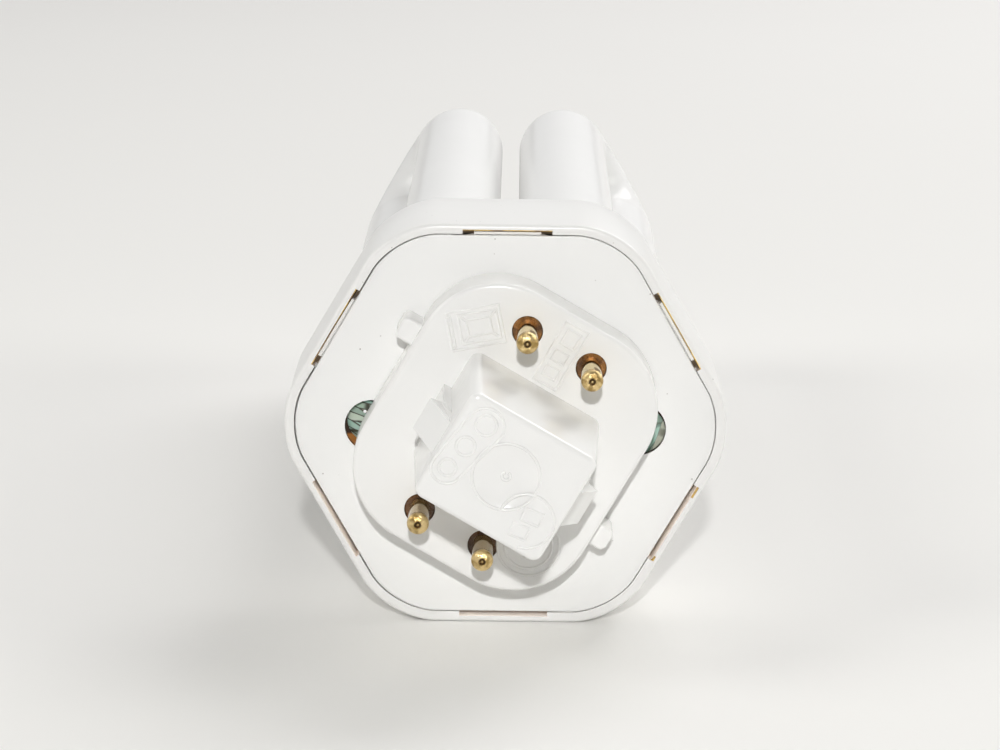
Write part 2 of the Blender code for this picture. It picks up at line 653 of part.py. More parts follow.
def seal_profile(top=None):
    """Half section of a leg's domed end, with or without the stub of its exhaust tube."""
    radius = TUBE_RADIUS - SEAL_STEP
    foot = SEAL_STEP - LEG_END
    dome = [(radius * math.sin(a), foot + SEAL_LENGTH * math.cos(a))
            for a in (math.radians(90) * step / SEAL_SEGMENTS for step in range(SEAL_SEGMENTS + 1))]
    if top is not None:
        shoulder = [point for point in dome if point[0] > TIP_RADIUS]
        cap = arc_points((0.0, top - TIP_RADIUS), TIP_RADIUS, math.radians(90), 0.0, SEAL_SEGMENTS)
        dome = cap + shoulder
    return dome + [(radius, -LEG_END - SEAL_INSERTION), (0.0, -LEG_END - SEAL_INSERTION)]


def make_discharge_tube(material):
    """One glass vessel: three U tubes, two bridges, six sealed ends, two of them pinched flat."""
    pairs = [(LEG_ANGLES[0], LEG_ANGLES[1]), (LEG_ANGLES[2], LEG_ANGLES[3]),
             (LEG_ANGLES[4], LEG_ANGLES[5])]
    tubes = [bent_bar(f"u_tube_{number}", tube_path(*pair), TUBE_RADIUS, TUBE_SECTION_RESOLUTION)
             for number, pair in enumerate(pairs, start=1)]
    vessel = add_part("discharge_tube", tubes[0], material)
    for mesh in tubes[1:]:
        combine(vessel, add_cutter(mesh.name, mesh), "UNION")
    bridge = cylinder("bridge", BRIDGE_RADIUS, -BEND_RADIUS, BEND_RADIUS)
    level = Matrix.Translation((0, 0, -HOUSING_DEPTH - BRIDGE_DISTANCE))
    distance = TUBE_CIRCLE_RADIUS * HEXAGON_RATIO
    sideways = Matrix.Rotation(math.radians(90), 4, "X")
    bridges = [(bridge, level @ turned_about(angle, distance) @ sideways)
               for angle in (SIDE_ANGLES[1], SIDE_ANGLES[3])]
    combine(vessel, add_cutter("bridges", join_meshes("bridges", bridges)), "UNION")
    dome = turned("leg_seal", seal_profile(), ROUND_SEGMENTS)
    stub = turned("leg_stub", seal_profile(-TIP_TOP), ROUND_SEGMENTS)
    ends = [stub if number in (0, 3) else dome for number in range(6)]
    seals = [(mesh, turned_about(angle, TUBE_CIRCLE_RADIUS)) for mesh, angle in zip(ends, LEG_ANGLES)]
    combine(vessel, add_cutter("leg_seals", join_meshes("leg_seals", seals)), "UNION")
    pinch = rectangle_prism("pinch", PINCH_THICKNESS / 2, PINCH_WIDTH / 2, PINCH_EDGE_RADIUS,
                            -LEG_END - SEAL_INSERTION / 2, -PINCH_TOP, segments=SMALL_CORNER_SEGMENTS)
    pinches = [(pinch, turned_about(angle, TUBE_CIRCLE_RADIUS))
               for angle in (LEG_ANGLES[0], LEG_ANGLES[5])]
    combine(vessel, add_cutter("pinches", join_meshes("pinches", pinches)), "UNION")
    return vessel


def make_cement(material):
    """Slab of white cement inside the housing's rear wall, which holds the six legs."""
    low = REAR_WALL - HOUSING_DEPTH + SEAT_GAP
    cement = add_part("tube_cement", hexagon_prism(
        "tube_cement", CAVITY_APOTHEM - SEAT_GAP, CAVITY_CORNER_RADIUS - SEAT_GAP,
        low, low + CEMENT_THICKNESS), material)
    hole = cylinder("cement_hole", LEG_HOLE_RADIUS, low - OVERRUN, low + CEMENT_THICKNESS + OVERRUN)
    holes = [(hole, turned_about(angle, TUBE_CIRCLE_RADIUS)) for angle in LEG_ANGLES]
    combine(cement, add_cutter("cement_holes", join_meshes("cement_holes", holes)), "DIFFERENCE")
    return cement


def smooth_line(points, steps):
    """Points on a smooth curve through the given ones (Catmull-Rom)."""
    padded = [points[0] * 2 - points[1]] + points + [points[-1] * 2 - points[-2]]
    line = []
    for a, b, c, d in zip(padded, padded[1:], padded[2:], padded[3:]):
        for step in range(steps):
            t = step / steps
            line.append(0.5 * (2 * b + (c - a) * t + (2 * a - 5 * b + 4 * c - d) * t * t
                               + (3 * b - a - 3 * c + d) * t * t * t))
    return line + [points[-1]]


def wire_route(pin, lead, detour, tail_end):
    """From inside a pin's tail, down and across behind the cover, to a lead of a pinch."""
    start = Vector((pin.x, pin.y, tail_end + WIRE_INSERTION))
    mouth = Vector((pin.x, pin.y, tail_end - WIRE_RADIUS))
    bend = Vector((pin.x, pin.y, -WIRE_RUN_DEPTH * 2 / 3))
    middle = (pin + lead) / 2
    middle.z = 0.0
    middle -= middle.normalized() * detour
    middle.z = -WIRE_RUN_DEPTH
    over = Vector((lead.x, lead.y, -WIRE_RUN_DEPTH))
    end = Vector((lead.x, lead.y, -PINCH_TOP + SEAT_GAP))
    return smooth_line([start, mouth, bend, middle, over, end], WIRE_STEPS)


def make_lead_wires(material, tail_end):
    """Two leads from each pinch, one to each pin of the nearer pair."""
    pins = [place.translation for place in pin_places()]
    first = LEG_ANGLES[0]
    last = LEG_ANGLES[5]
    joins = [(pins[1], first, 1, 0.0), (pins[0], first, -1, INNER_WIRE_DETOUR),
             (pins[3], last, -1, 0.0), (pins[2], last, 1, INNER_WIRE_DETOUR)]
    for number, (pin, angle, side, detour) in enumerate(joins, start=1):
        place = (turned_about(angle, TUBE_CIRCLE_RADIUS)
                 @ Matrix.Translation((0, side * WIRE_SPACING / 2, 0)))
        route = wire_route(pin, place.translation, detour, tail_end)
        name = f"lead_wire_{number}"
        add_part(name, bent_bar(name, route, WIRE_RADIUS, WIRE_SECTION_RESOLUTION), material)


def build_lamp():
    """Make the materials and every piece, from the housing inwards."""
    white_gloss = make_material("white_gloss_plastic", (0.86, 0.86, 0.845), 0.28)
    white_satin = make_material("white_satin_plastic", (0.87, 0.87, 0.855), 0.38)
    brass = make_material("brass", (0.80, 0.60, 0.28), 0.22, metallic=1.0)
    phosphor = make_material("phosphor_coated_glass", (0.90, 0.90, 0.885), 0.12)
    cement = make_material("white_cement", (0.80, 0.79, 0.76), 0.9)
    nickel = make_material("nickel_wire", (0.62, 0.60, 0.57), 0.35, metallic=1.0)
    make_housing(white_gloss)
    make_end_cover(white_satin)
    make_plug(white_satin)
    tail_end = make_pins(brass)
    make_discharge_tube(phosphor)
    make_cement(cement)
    make_lead_wires(nickel, tail_end)


build_lamp()
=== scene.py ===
import math

import bmesh
import bpy
from mathutils import Matrix, Vector


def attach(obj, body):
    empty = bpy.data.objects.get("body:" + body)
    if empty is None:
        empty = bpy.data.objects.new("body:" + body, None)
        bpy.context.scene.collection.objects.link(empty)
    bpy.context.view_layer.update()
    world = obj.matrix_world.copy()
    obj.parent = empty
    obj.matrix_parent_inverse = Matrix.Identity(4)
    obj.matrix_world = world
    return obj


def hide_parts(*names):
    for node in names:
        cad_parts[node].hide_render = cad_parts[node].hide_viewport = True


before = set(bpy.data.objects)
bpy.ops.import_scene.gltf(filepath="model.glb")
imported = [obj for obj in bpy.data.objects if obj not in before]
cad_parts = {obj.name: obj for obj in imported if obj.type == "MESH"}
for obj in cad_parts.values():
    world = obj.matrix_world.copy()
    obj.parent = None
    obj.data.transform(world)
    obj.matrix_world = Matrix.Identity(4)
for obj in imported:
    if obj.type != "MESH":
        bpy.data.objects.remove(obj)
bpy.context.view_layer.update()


# Housing: a hexagonal cup moulded in glossy white plastic, that lies on one of its flats.
# The end cover snaps into the six slots of its open front, and the glass legs pass through its rear wall.
HOUSING_APOTHEM = 0.0225
HOUSING_CORNER = 0.0095
HOUSING_DEPTH = 0.0170
HOUSING_WALL = 0.0016
HOUSING_EDGE = 0.00045
REAR_WALL = 0.0018
RIM_WIDTH = 0.00112
RIM_PROUD = 0.00015
POCKET_SHIFT = (-0.00004, 0.00005)
COVER_THICKNESS = 0.0015
GAP = 0.0003
CUT_PAST = 0.001
TUBE_CIRCLE = 0.0144
TUBE_RADIUS = 0.0060
LEG_ANGLES = [math.radians(60 * leg) for leg in range(6)]
SIDE_ANGLES = [math.radians(30 + 60 * side) for side in range(6)]
SLOT_LENGTH = 0.0098
SLOT_APOTHEM = 0.02179
SLOT_DEPTH = 0.0034
AMBER_FOOT = 0.00001
AMBER_LINE = 0.00011
GLINT_LINE = 0.00022
GLINT_LONG = 0.0014
GLINT_SHORT = 0.0006

# The lamp lies with its plug towards -Y. Every piece is drawn about the lamp's own axis,
# with z out of the plug and 0 at the cover's face.
AXIS_HEIGHT = HOUSING_APOTHEM
COVER_FACE_Y = -0.0527
LAMP_PLACE = Matrix.Translation((0, COVER_FACE_Y, AXIS_HEIGHT)) @ Matrix.Rotation(math.radians(90), 4, "X")


class Socket:
    """One value in a finish; arithmetic on it adds Math nodes."""

    def __init__(self, finish, plug):
        self.finish = finish
        self.plug = plug

    def maths(self, operation, first, second):
        return self.finish.node("ShaderNodeMath", {"operation": operation}, {0: first, 1: second})

    def __add__(self, other):
        return self.maths("ADD", self, other)

    def __radd__(self, other):
        return self.maths("ADD", other, self)

    def __sub__(self, other):
        return self.maths("SUBTRACT", self, other)

    def __rsub__(self, other):
        return self.maths("SUBTRACT", other, self)

    def __mul__(self, other):
        return self.maths("MULTIPLY", self, other)

    def __rmul__(self, other):
        return self.maths("MULTIPLY", other, self)

    def power(self, exponent):
        return self.maths("POWER", self, exponent)

    def below(self, limit):
        return self.maths("LESS_THAN", self, limit)

    def size(self):
        return self.maths("ABSOLUTE", self, 0.0)


class Finish:
    """One Principled material, with the nodes that vary it over a surface."""

    def __init__(self, name, **constants):
        self.material = bpy.data.materials.new(name)
        self.material.use_nodes = True
        self.shader = self.material.node_tree.nodes["Principled BSDF"]
        for socket, value in constants.items():
            self.shader.inputs[socket.replace("_", " ")].default_value = value

    def feed(self, plug, value):
        if isinstance(value, Socket):
            self.material.node_tree.links.new(value.plug, plug)
        else:
            plug.default_value = value

    def node(self, kind, settings, inputs, output=0):
        made = self.material.node_tree.nodes.new(kind)
        for key, value in settings.items():
            if key == "stops":
                self.set_stops(made.color_ramp, value)
            else:
                setattr(made, key, value)
        for key, value in inputs.items():
            self.feed(made.inputs[key], value)
        return Socket(self, made.outputs[output])

    def set_stops(self, ramp, stops):
        while len(ramp.elements) < len(stops):
            ramp.elements.new(0.5)
        for element, (place, colour) in zip(ramp.elements, stops):
            element.position = place
            element.color = (*colour, 1.0)

    def set(self, socket, value):
        self.feed(self.shader.inputs[socket], value)

    def place(self):
        """Where a point lies on the lamp, in metres."""
        return self.node("ShaderNodeTexCoord", {}, {}, "Object")

    def along(self, axis):
        """One coordinate of that place."""
        return self.node("ShaderNodeSeparateXYZ", {}, {0: self.place()}, axis)

    def noise(self, scale, detail=2.0):
        return self.node("ShaderNodeTexNoise", {},
                         {"Vector": self.place(), "Scale": scale, "Detail": detail})

    def cells(self, scale):
        return self.node("ShaderNodeTexVoronoi", {}, {"Vector": self.place(), "Scale": scale}, "Distance")

    def fade(self, value, low, high):
        """0 at low and under, 1 at high and over, smooth between."""
        return self.node("ShaderNodeMapRange", {"interpolation_type": "SMOOTHSTEP"},
                         {0: value, 1: low, 2: high, 3: 0.0, 4: 1.0})

    def blend(self, share, first, second):
        """From the first colour to the second."""
        colours = [value if isinstance(value, Socket) else (*value, 1.0) for value in (first, second)]
        return self.node("ShaderNodeMix", {"data_type": "RGBA"},
                         {0: share, 6: colours[0], 7: colours[1]}, 2)

    def dents(self, height, distance, strength=1.0):
        self.set("Normal", self.node("ShaderNodeBump", {}, {"Strength": strength,
                 "Distance": distance, "Height": height}))


def finish_mesh(name, shape):
    bmesh.ops.recalc_face_normals(shape, faces=shape.faces)
    mesh = bpy.data.meshes.new(name)
    shape.to_mesh(mesh)
    shape.free()
    return mesh


def joined(name, meshes_and_places):
    """One mesh that holds each mesh at its place."""
    shape = bmesh.new()
    for mesh, place in meshes_and_places:
        copy = mesh.copy()
        copy.transform(place)
        shape.from_mesh(copy)
        bpy.data.meshes.remove(copy)
    return finish_mesh(name, shape)


def round_edges(shape, edges, radius, segments, corner=math.radians(90)):
    bmesh.ops.bevel(shape, geom=edges, offset=radius / math.tan(corner / 2), offset_type="OFFSET",
                    segments=segments, profile=0.5, affect="EDGES", clamp_overlap=False)


def edges_between(shape, bottom, top):
    middle = (bottom + top) / 2
    return [edge for edge in shape.edges
            if min(v.co.z for v in edge.verts) < middle < max(v.co.z for v in edge.verts)]


def edges_at(shape, height):
    near = 1e-6
    return [edge for edge in shape.edges if all(abs(v.co.z - height) < near for v in edge.verts)]


def hexagon(name, apothem, corner_radius, bottom, top, front_edge=0.0, rear_edge=0.0, segments=20):
    """Prism on a round cornered hexagon with one flat down."""
    shape = bmesh.new()
    outer = apothem / math.cos(math.radians(30))
    bmesh.ops.create_cone(shape, cap_ends=True, segments=6, radius1=outer, radius2=outer,
                          depth=top - bottom, matrix=Matrix.Translation((0, 0, (top + bottom) / 2)))
    shape.verts.ensure_lookup_table()
    first = shape.verts[0].co
    turn = Matrix.Rotation(-math.atan2(first.y, first.x), 4, "Z")
    bmesh.ops.transform(shape, matrix=turn, verts=shape.verts)
    round_edges(shape, edges_between(shape, bottom, top), corner_radius, segments, math.radians(120))
    if front_edge:
        round_edges(shape, edges_at(shape, top), front_edge, 5)
    if rear_edge:
        round_edges(shape, edges_at(shape, bottom), rear_edge, 5)
    return finish_mesh(name, shape)


def block(name, half_x, half_y, corner_radius, bottom, top, top_half_x=None, top_half_y=None,
          front_edge=0.0, segments=12):
    """Prism on a round cornered rectangle, that may narrow towards its top."""
    shape = bmesh.new()
    size = Matrix.Diagonal((2 * half_x, 2 * half_y, top - bottom, 1))
    bmesh.ops.create_cube(shape, size=1.0, matrix=Matrix.Translation((0, 0, (top + bottom) / 2)) @ size)
    for corner in shape.verts:
        if corner.co.z > (top + bottom) / 2:
            corner.co.x *= (top_half_x or half_x) / half_x
            corner.co.y *= (top_half_y or half_y) / half_y
    if corner_radius:
        round_edges(shape, edges_between(shape, bottom, top), corner_radius, segments)
    if front_edge:
        round_edges(shape, edges_at(shape, top), front_edge, 4)
    return finish_mesh(name, shape)


def bar(name, radius, bottom, top, segments=64):
    shape = bmesh.new()
    bmesh.ops.create_cone(shape, cap_ends=True, segments=segments, radius1=radius, radius2=radius,
                          depth=top - bottom, matrix=Matrix.Translation((0, 0, (top + bottom) / 2)))
    return finish_mesh(name, shape)


def around(angle, distance=0.0):
    return Matrix.Rotation(angle, 4, "Z") @ Matrix.Translation((distance, 0, 0))


def shaped(source, name):
    """The mesh that an object's curve or modifiers make; the object goes."""
    bpy.context.view_layer.update()
    graph = bpy.context.evaluated_depsgraph_get()
    mesh = bpy.data.meshes.new_from_object(source.evaluated_get(graph))
    mesh.name = name
    bpy.data.objects.remove(source, do_unlink=True)
    return mesh


def worked(name, mesh, steps):
    """Cut meshes away from a mesh and fuse others to it; each keeps its own finish."""
    source = bpy.data.objects.new(name, mesh)
    bpy.context.scene.collection.objects.link(source)
    tools = []
    for operation, tool_mesh in steps:
        tool = bpy.data.objects.new(tool_mesh.name, tool_mesh)
        bpy.context.scene.collection.objects.link(tool)
        tools.append(tool)
        change = source.modifiers.new(tool.name, "BOOLEAN")
        change.operation = operation
        change.solver = "EXACT"
        change.material_mode = "TRANSFER"
        change.object = tool
    done = shaped(source, name)
    for tool in tools:
        bpy.data.objects.remove(tool, do_unlink=True)
    return done


def show(name, mesh, finish, node=None, sharp=32):
    """Put a piece on the lamp in place of its plain CAD node."""
    if finish is not None:
        mesh.materials.clear()
        mesh.materials.append(finish.material)
    mesh.transform(LAMP_PLACE)
    mesh.shade_smooth()
    mesh.set_sharp_from_angle(angle=math.radians(sharp))
    piece = bpy.data.objects.new(name, mesh)
    bpy.context.scene.collection.objects.link(piece)
    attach(piece, "root")
    if node:
        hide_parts(node)


def with_finish(mesh, finish):
    mesh.materials.clear()
    mesh.materials.append(finish.material)
    return mesh


SPECK = (0.22, 0.19, 0.16)


def plastic(name, light, dark, roughness, speck_scale, speck_size=0.045, gloss=0.5):
    """White moulded plastic: faint clouding, a fine moulded skin and a few dark specks."""
    finish = Finish(name, Specular_IOR_Level=gloss)
    cloud = finish.noise(55.0, 3.0)
    fine = finish.noise(900.0, 2.0)
    specks = finish.cells(speck_scale).below(speck_size) * finish.noise(130.0).power(2.0)
    tone = finish.blend(cloud, dark, light)
    finish.set("Base Color", finish.blend(specks * 1.6, tone, SPECK))
    finish.set("Roughness", roughness + 0.10 * fine)
    finish.dents(finish.noise(260.0, 2.0), 0.00002, 0.12)
    return finish


HOUSING_LIGHT = (0.855, 0.848, 0.832)
HOUSING_DARK = (0.825, 0.818, 0.802)
housing_plastic = plastic("housing_plastic", HOUSING_LIGHT, HOUSING_DARK, 0.26, 520.0)

# The three upper slots' walls are painted warm and darker as shade, with a faint painted glow for light
# that seeps through the plastic.
UPPER_SLOT_SHADE_LIGHT = (0.76, 0.68, 0.58)
UPPER_SLOT_SHADE_DARK = (0.60, 0.50, 0.41)
UPPER_SLOT_PAINTED_GLOW = (0.040, 0.030, 0.021, 1.0)
painted_upper_slot = Finish("upper_slot_painted_shade_and_glow", Specular_IOR_Level=0.4, Emission_Strength=1.0,
                   Emission_Color=UPPER_SLOT_PAINTED_GLOW)
painted_upper_slot.set("Base Color", painted_upper_slot.blend(painted_upper_slot.noise(700.0, 2.0), UPPER_SLOT_SHADE_DARK, UPPER_SLOT_SHADE_LIGHT))
painted_upper_slot.set("Roughness", 0.4 + 0.2 * painted_upper_slot.noise(600.0))

# The three lower slots are painted a warm white with a painted glow, for light that seeps through the
# housing; the glow fades with depth.
LOWER_SLOT_LIGHT = (0.93, 0.86, 0.80)
LOWER_SLOT_DARK = (0.87, 0.79, 0.73)
LOWER_SLOT_GLOW = (0.18, 0.150, 0.128)
GLOW_FULL = 0.0008
GLOW_GONE = 0.0024
lit_slot = Finish("lower_slot_painted_glow", Specular_IOR_Level=0.4, Emission_Strength=1.0,
                  Subsurface_Weight=1.0, Subsurface_Scale=0.001, Subsurface_Radius=(1.0, 1.0, 1.0))
lit_slot.set("Base Color", lit_slot.blend(lit_slot.noise(700.0, 2.0), LOWER_SLOT_DARK, LOWER_SLOT_LIGHT))
lit_slot.set("Roughness", 0.4 + 0.2 * lit_slot.noise(600.0))
painted_glow_share = 1.0 - lit_slot.fade(lit_slot.along("Y") - COVER_FACE_Y, GLOW_FULL, GLOW_GONE)
lit_slot.set("Emission Color", lit_slot.blend(painted_glow_share, (0.0, 0.0, 0.0), LOWER_SLOT_GLOW))

# Slot edges: thin amber strips at the upper slots' outer edges and at both ends of the lower right slot are
# painted glow and glints, for light through the translucent plastic.
EDGE_AMBER = (0.90, 0.64, 0.16)
EDGE_BROWN = (0.34, 0.20, 0.08)
slot_edge = Finish("slot_edge_painted_glow", Specular_IOR_Level=0.5)
slot_edge.set("Base Color", slot_edge.blend(slot_edge.fade(slot_edge.noise(380.0, 2.0), 0.35, 0.6),
                                            EDGE_BROWN, EDGE_AMBER))
slot_edge.set("Roughness", 0.3 + 0.2 * slot_edge.noise(900.0))


def make_housing():
    body = with_finish(hexagon("housing", HOUSING_APOTHEM, HOUSING_CORNER, -HOUSING_DEPTH, RIM_PROUD,
                               front_edge=HOUSING_EDGE, rear_edge=HOUSING_EDGE), housing_plastic)
    front = RIM_PROUD + CUT_PAST
    ledge = COVER_THICKNESS + GAP
    pocket = with_finish(hexagon("cover_pocket", HOUSING_APOTHEM - RIM_WIDTH, HOUSING_CORNER - RIM_WIDTH,
                                 -ledge, front), housing_plastic)
    pocket.transform(Matrix.Translation((*POCKET_SHIFT, 0.0)))
    cavity = with_finish(hexagon("housing_cavity", HOUSING_APOTHEM - HOUSING_WALL,
                                 HOUSING_CORNER - HOUSING_WALL, REAR_WALL - HOUSING_DEPTH, front),
                         housing_plastic)
    half = SLOT_LENGTH / 2
    slot = block("snap_slot", CUT_PAST, half, 0, -SLOT_DEPTH, front)
    slots = [joined("snap_slots", [(slot, around(angle, SLOT_APOTHEM - CUT_PAST)) for angle in angles])
             for angles in (SIDE_ANGLES[:3], SIDE_ANGLES[3:])]
    # Painted glow lines along the three upper slots' outer edges, and two short painted glints at the ends
    # of the lower right slot.
    lines = [(side, -half, half, AMBER_LINE) for side in (0, 1, 2)]
    lines += [(5, half - GLINT_LONG, half, GLINT_LINE), (5, -half, GLINT_SHORT - half, GLINT_LINE)]
    edges = joined("amber_edges", [(block("amber_edge", width, (end - start) / 2, 0, AMBER_FOOT, front),
                                    around(SIDE_ANGLES[side], SLOT_APOTHEM)
                                    @ Matrix.Translation((0, (start + end) / 2, 0)))
                                   for side, start, end, width in lines])
    hole = bar("leg_hole", TUBE_RADIUS + GAP, -HOUSING_DEPTH - CUT_PAST,
               REAR_WALL - HOUSING_DEPTH + CUT_PAST)
    holes = joined("leg_holes", [(hole, around(angle, TUBE_CIRCLE)) for angle in LEG_ANGLES])
    return worked("housing_shell", body, [
        ("DIFFERENCE", pocket),
        ("DIFFERENCE", cavity),
        ("DIFFERENCE", with_finish(slots[0], painted_upper_slot)),
        ("DIFFERENCE", with_finish(slots[1], lit_slot)),
        ("DIFFERENCE", with_finish(edges, slot_edge)),
        ("DIFFERENCE", with_finish(holes, housing_plastic)),
    ])


show("housing_shell", make_housing(), None, "housing")


# End cover: a flat plate moulded in satin white plastic, that closes the housing's front.
# Six hooks on its edge spring into the housing's slots, and two round holes show the glass behind.
COVER_EDGE = 0.00018
COVER_SLACK = 0.00011
COVER_HOLE_RADIUS = 0.00290
COVER_HOLE_CENTRE = 0.0148
COVER_HOLE_DROP = 0.0002
TIP_CENTRES = [(-0.01472, 0.00028), (0.01500, -0.00080)]
TIP_RADIUS = 0.0030
RECESS_ROOF = 0.0009
COVER_LIGHT = (0.880, 0.876, 0.862)
COVER_DARK = (0.852, 0.848, 0.834)
COVER_APOTHEM = HOUSING_APOTHEM - RIM_WIDTH - COVER_SLACK
COVER_CORNER = HOUSING_CORNER - RIM_WIDTH - COVER_SLACK
HOOK_WIDTH = 0.0073
HOOK_DEPTH = SLOT_DEPTH
HOOK_REACHES = (0.00045, 0.00037, 0.00045)
EDGE_LIP = 0.00022
UNDERCUT_WIDTH = 0.0016
cover_plastic = plastic("cover_plastic", COVER_LIGHT, COVER_DARK, 0.34, 430.0)

# The walls of the two holes are painted dark brown as shade, and amber low on the left one where resin has
# run.
HOLE_AMBER = (0.36, 0.15, 0.04)
HOLE_SHADE_BROWN = (0.07, 0.052, 0.038)
AMBER_FULL = -0.0015
AMBER_GONE = -0.0011
hole_wall = Finish("hole_wall_painted_shade", Specular_IOR_Level=0.2)
amber_share = (hole_wall.along("X").below(0.0) * (0.6 + 0.6 * hole_wall.noise(500.0, 2.0))
               * (1.0 - hole_wall.fade(hole_wall.along("Z") - AXIS_HEIGHT, AMBER_FULL, AMBER_GONE)))
hole_wall.set("Base Color", hole_wall.blend(amber_share, HOLE_SHADE_BROWN, HOLE_AMBER))
hole_wall.set("Roughness", 0.3 + 0.2 * hole_wall.noise(900.0))


def side_shape(name, points, width):
    """Extrude an outline in the x-z plane by a width along y."""
    curve = bpy.data.curves.new(name, "CURVE")
    curve.dimensions = "2D"
    curve.fill_mode = "BOTH"
    curve.extrude = width / 2
    line = curve.splines.new("POLY")
    line.points.add(len(points) - 1)
    for point, (across, up) in zip(line.points, points):
        point.co = (across, up, 0.0, 1.0)
    line.use_cyclic_u = True
    source = bpy.data.objects.new(name, curve)
    bpy.context.scene.collection.objects.link(source)
    mesh = shaped(source, name)
    shape = bmesh.new()
    shape.from_mesh(mesh)
    bmesh.ops.remove_doubles(shape, verts=shape.verts, dist=1e-6)
    mesh = finish_mesh(name, shape)
    mesh.transform(Matrix.Rotation(math.radians(90), 4, "X"))
    return mesh


def hole_place(side):
    """The centre of the cover's right hole for 1, or of its left one for -1."""
    return Matrix.Translation((side * COVER_HOLE_CENTRE, -COVER_HOLE_DROP, 0))


def make_cover():
    plate = with_finish(hexagon("cover", COVER_APOTHEM, COVER_CORNER, -COVER_THICKNESS, 0.0,
                                front_edge=COVER_EDGE), cover_plastic)
    half = HOOK_WIDTH / 2
    turn = Matrix.Rotation(math.radians(90), 4, "Z")
    beside = half - 0.0001
    out = 0.0062
    below = -0.002
    undercut = side_shape("undercut", [(half + 0.0009, -EDGE_LIP), (beside, -COVER_THICKNESS),
                                       (beside, below), (out, below), (out, -EDGE_LIP)], UNDERCUT_WIDTH)
    flip = Matrix.Rotation(math.pi, 4, "Z")
    cuts = joined("undercuts", [(undercut, around(angle, COVER_APOTHEM) @ turn @ way)
                                for angle in SIDE_ANGLES for way in (Matrix.Identity(4), flip)])
    recess = bar("tip_recess", TIP_RADIUS + 2 * GAP, -COVER_THICKNESS - CUT_PAST, -RECESS_ROOF)
    recesses = joined("tip_recesses", [(recess, Matrix.Translation((*centre, 0)))
                                       for centre in TIP_CENTRES])
    hole = bar("cover_hole", COVER_HOLE_RADIUS, -COVER_THICKNESS - CUT_PAST, CUT_PAST, 96)
    holes = joined("cover_holes", [(hole, hole_place(side)) for side in (1, -1)])
    return worked("cover_plate", plate, [
        ("DIFFERENCE", with_finish(cuts, cover_plastic)),
        ("DIFFERENCE", with_finish(recesses, cover_plastic)),
        ("DIFFERENCE", with_finish(holes, hole_wall)),
    ])


def make_hooks():
    """Six spring hooks at the plate's edge; the upper three lean out into their slots."""
    leaning = [side_shape("leaning_hook", [(-0.0009, -0.0001), (-0.00008, -0.0001), (0.0, -0.0005),
                                           (0.00007, -0.0005), (0.00008, -0.0002), (0.00014, -0.00012),
                                           (reach - 0.00001, -0.00024), (reach, -HOOK_DEPTH),
                                           (-0.0009, -HOOK_DEPTH)], HOOK_WIDTH)
               for reach in HOOK_REACHES]
    upright = side_shape("upright_hook", [(-0.0009, -0.0001), (-0.00008, -0.0001), (0.0, -0.0010),
                                          (0.0, -HOOK_DEPTH), (-0.0009, -HOOK_DEPTH)], HOOK_WIDTH)
    return joined("cover_hooks", [(hook, around(angle, COVER_APOTHEM))
                                  for hook, angle in zip(leaning + 3 * [upright], SIDE_ANGLES)])


show("cover_plate", make_cover(), None, "end_cover")
show("cover_hooks", make_hooks(), cover_plastic)


# Plug: a raised boss with a tall post, moulded in one piece in satin white plastic.
# Its lugs, latches and post key it to the holder; the four pins stand in wells beside the post.
PLUG_ANGLE = math.radians(60)
PLUG_TURN = Matrix.Rotation(PLUG_ANGLE, 4, "Z")
PLUG_HALF_LONG = 0.0156
PLUG_HALF_WIDE = 0.0139
PLUG_CORNER = 0.0090
PLUG_EDGE = 0.0005
PLUG_FOOT = GAP / 3
PLUG_HEIGHT = 0.0062
POST_END = 0.0230
POST_BASE_HALF = (0.00695, 0.0081)
POST_TOP_HALF = (0.00638, 0.00756)
POST_ASIDE = -0.0002
POST_CORNER = 0.0011
POST_EDGE = 0.0006
RIB_MARGIN = 0.00045
LUG_HALF = (0.0013, 0.0015)
LUG_CORNER = 0.0007
LUG_EDGE = 0.0003
LUG_TOP = 0.0043
LUG_SPOTS = [(0.0046, 0.0145), (-0.0046, -0.0145)]
PIN_LONG = 0.0115
PIN_SHORT = 0.0040
PIN_SPOTS = [(long * PIN_LONG, short * PIN_SHORT) for long in (1, -1) for short in (1, -1)]
WELL_RADIUS = 0.00168
WELL_FLOOR = 0.0046
DISC_CENTRE = (0.00012, -0.00017)
DISC_RADIUS = 0.00355
DISC_DEPTH = 0.00036
PLUG_LIGHT = (0.882, 0.877, 0.862)
PLUG_DARK = (0.850, 0.845, 0.830)
plug_plastic = plastic("plug_plastic", PLUG_LIGHT, PLUG_DARK, 0.15, 480.0, 0.02, 0.45)

# Inside the wells, round the pins, the plastic is painted brown as shade and amber as the brass pins' warm
# reflection.
WELL_REFLECTION_AMBER = (0.36, 0.17, 0.045)
WELL_SHADE_BROWN = (0.10, 0.05, 0.02)
well_wall = Finish("well_wall_painted_shade_and_reflection", Specular_IOR_Level=0.5)
well_wall.set("Base Color", well_wall.blend(well_wall.noise(420.0, 2.0), WELL_SHADE_BROWN, WELL_REFLECTION_AMBER))
well_wall.set("Roughness", 0.22 + 0.2 * well_wall.noise(800.0))


# Each latch: the way it faces in degrees, how far it stands out and aside, and its width.
LATCHES = [(90, 0.0, 0.0004, 0.0038), (-90, 0.0005, -0.00026, 0.0042)]


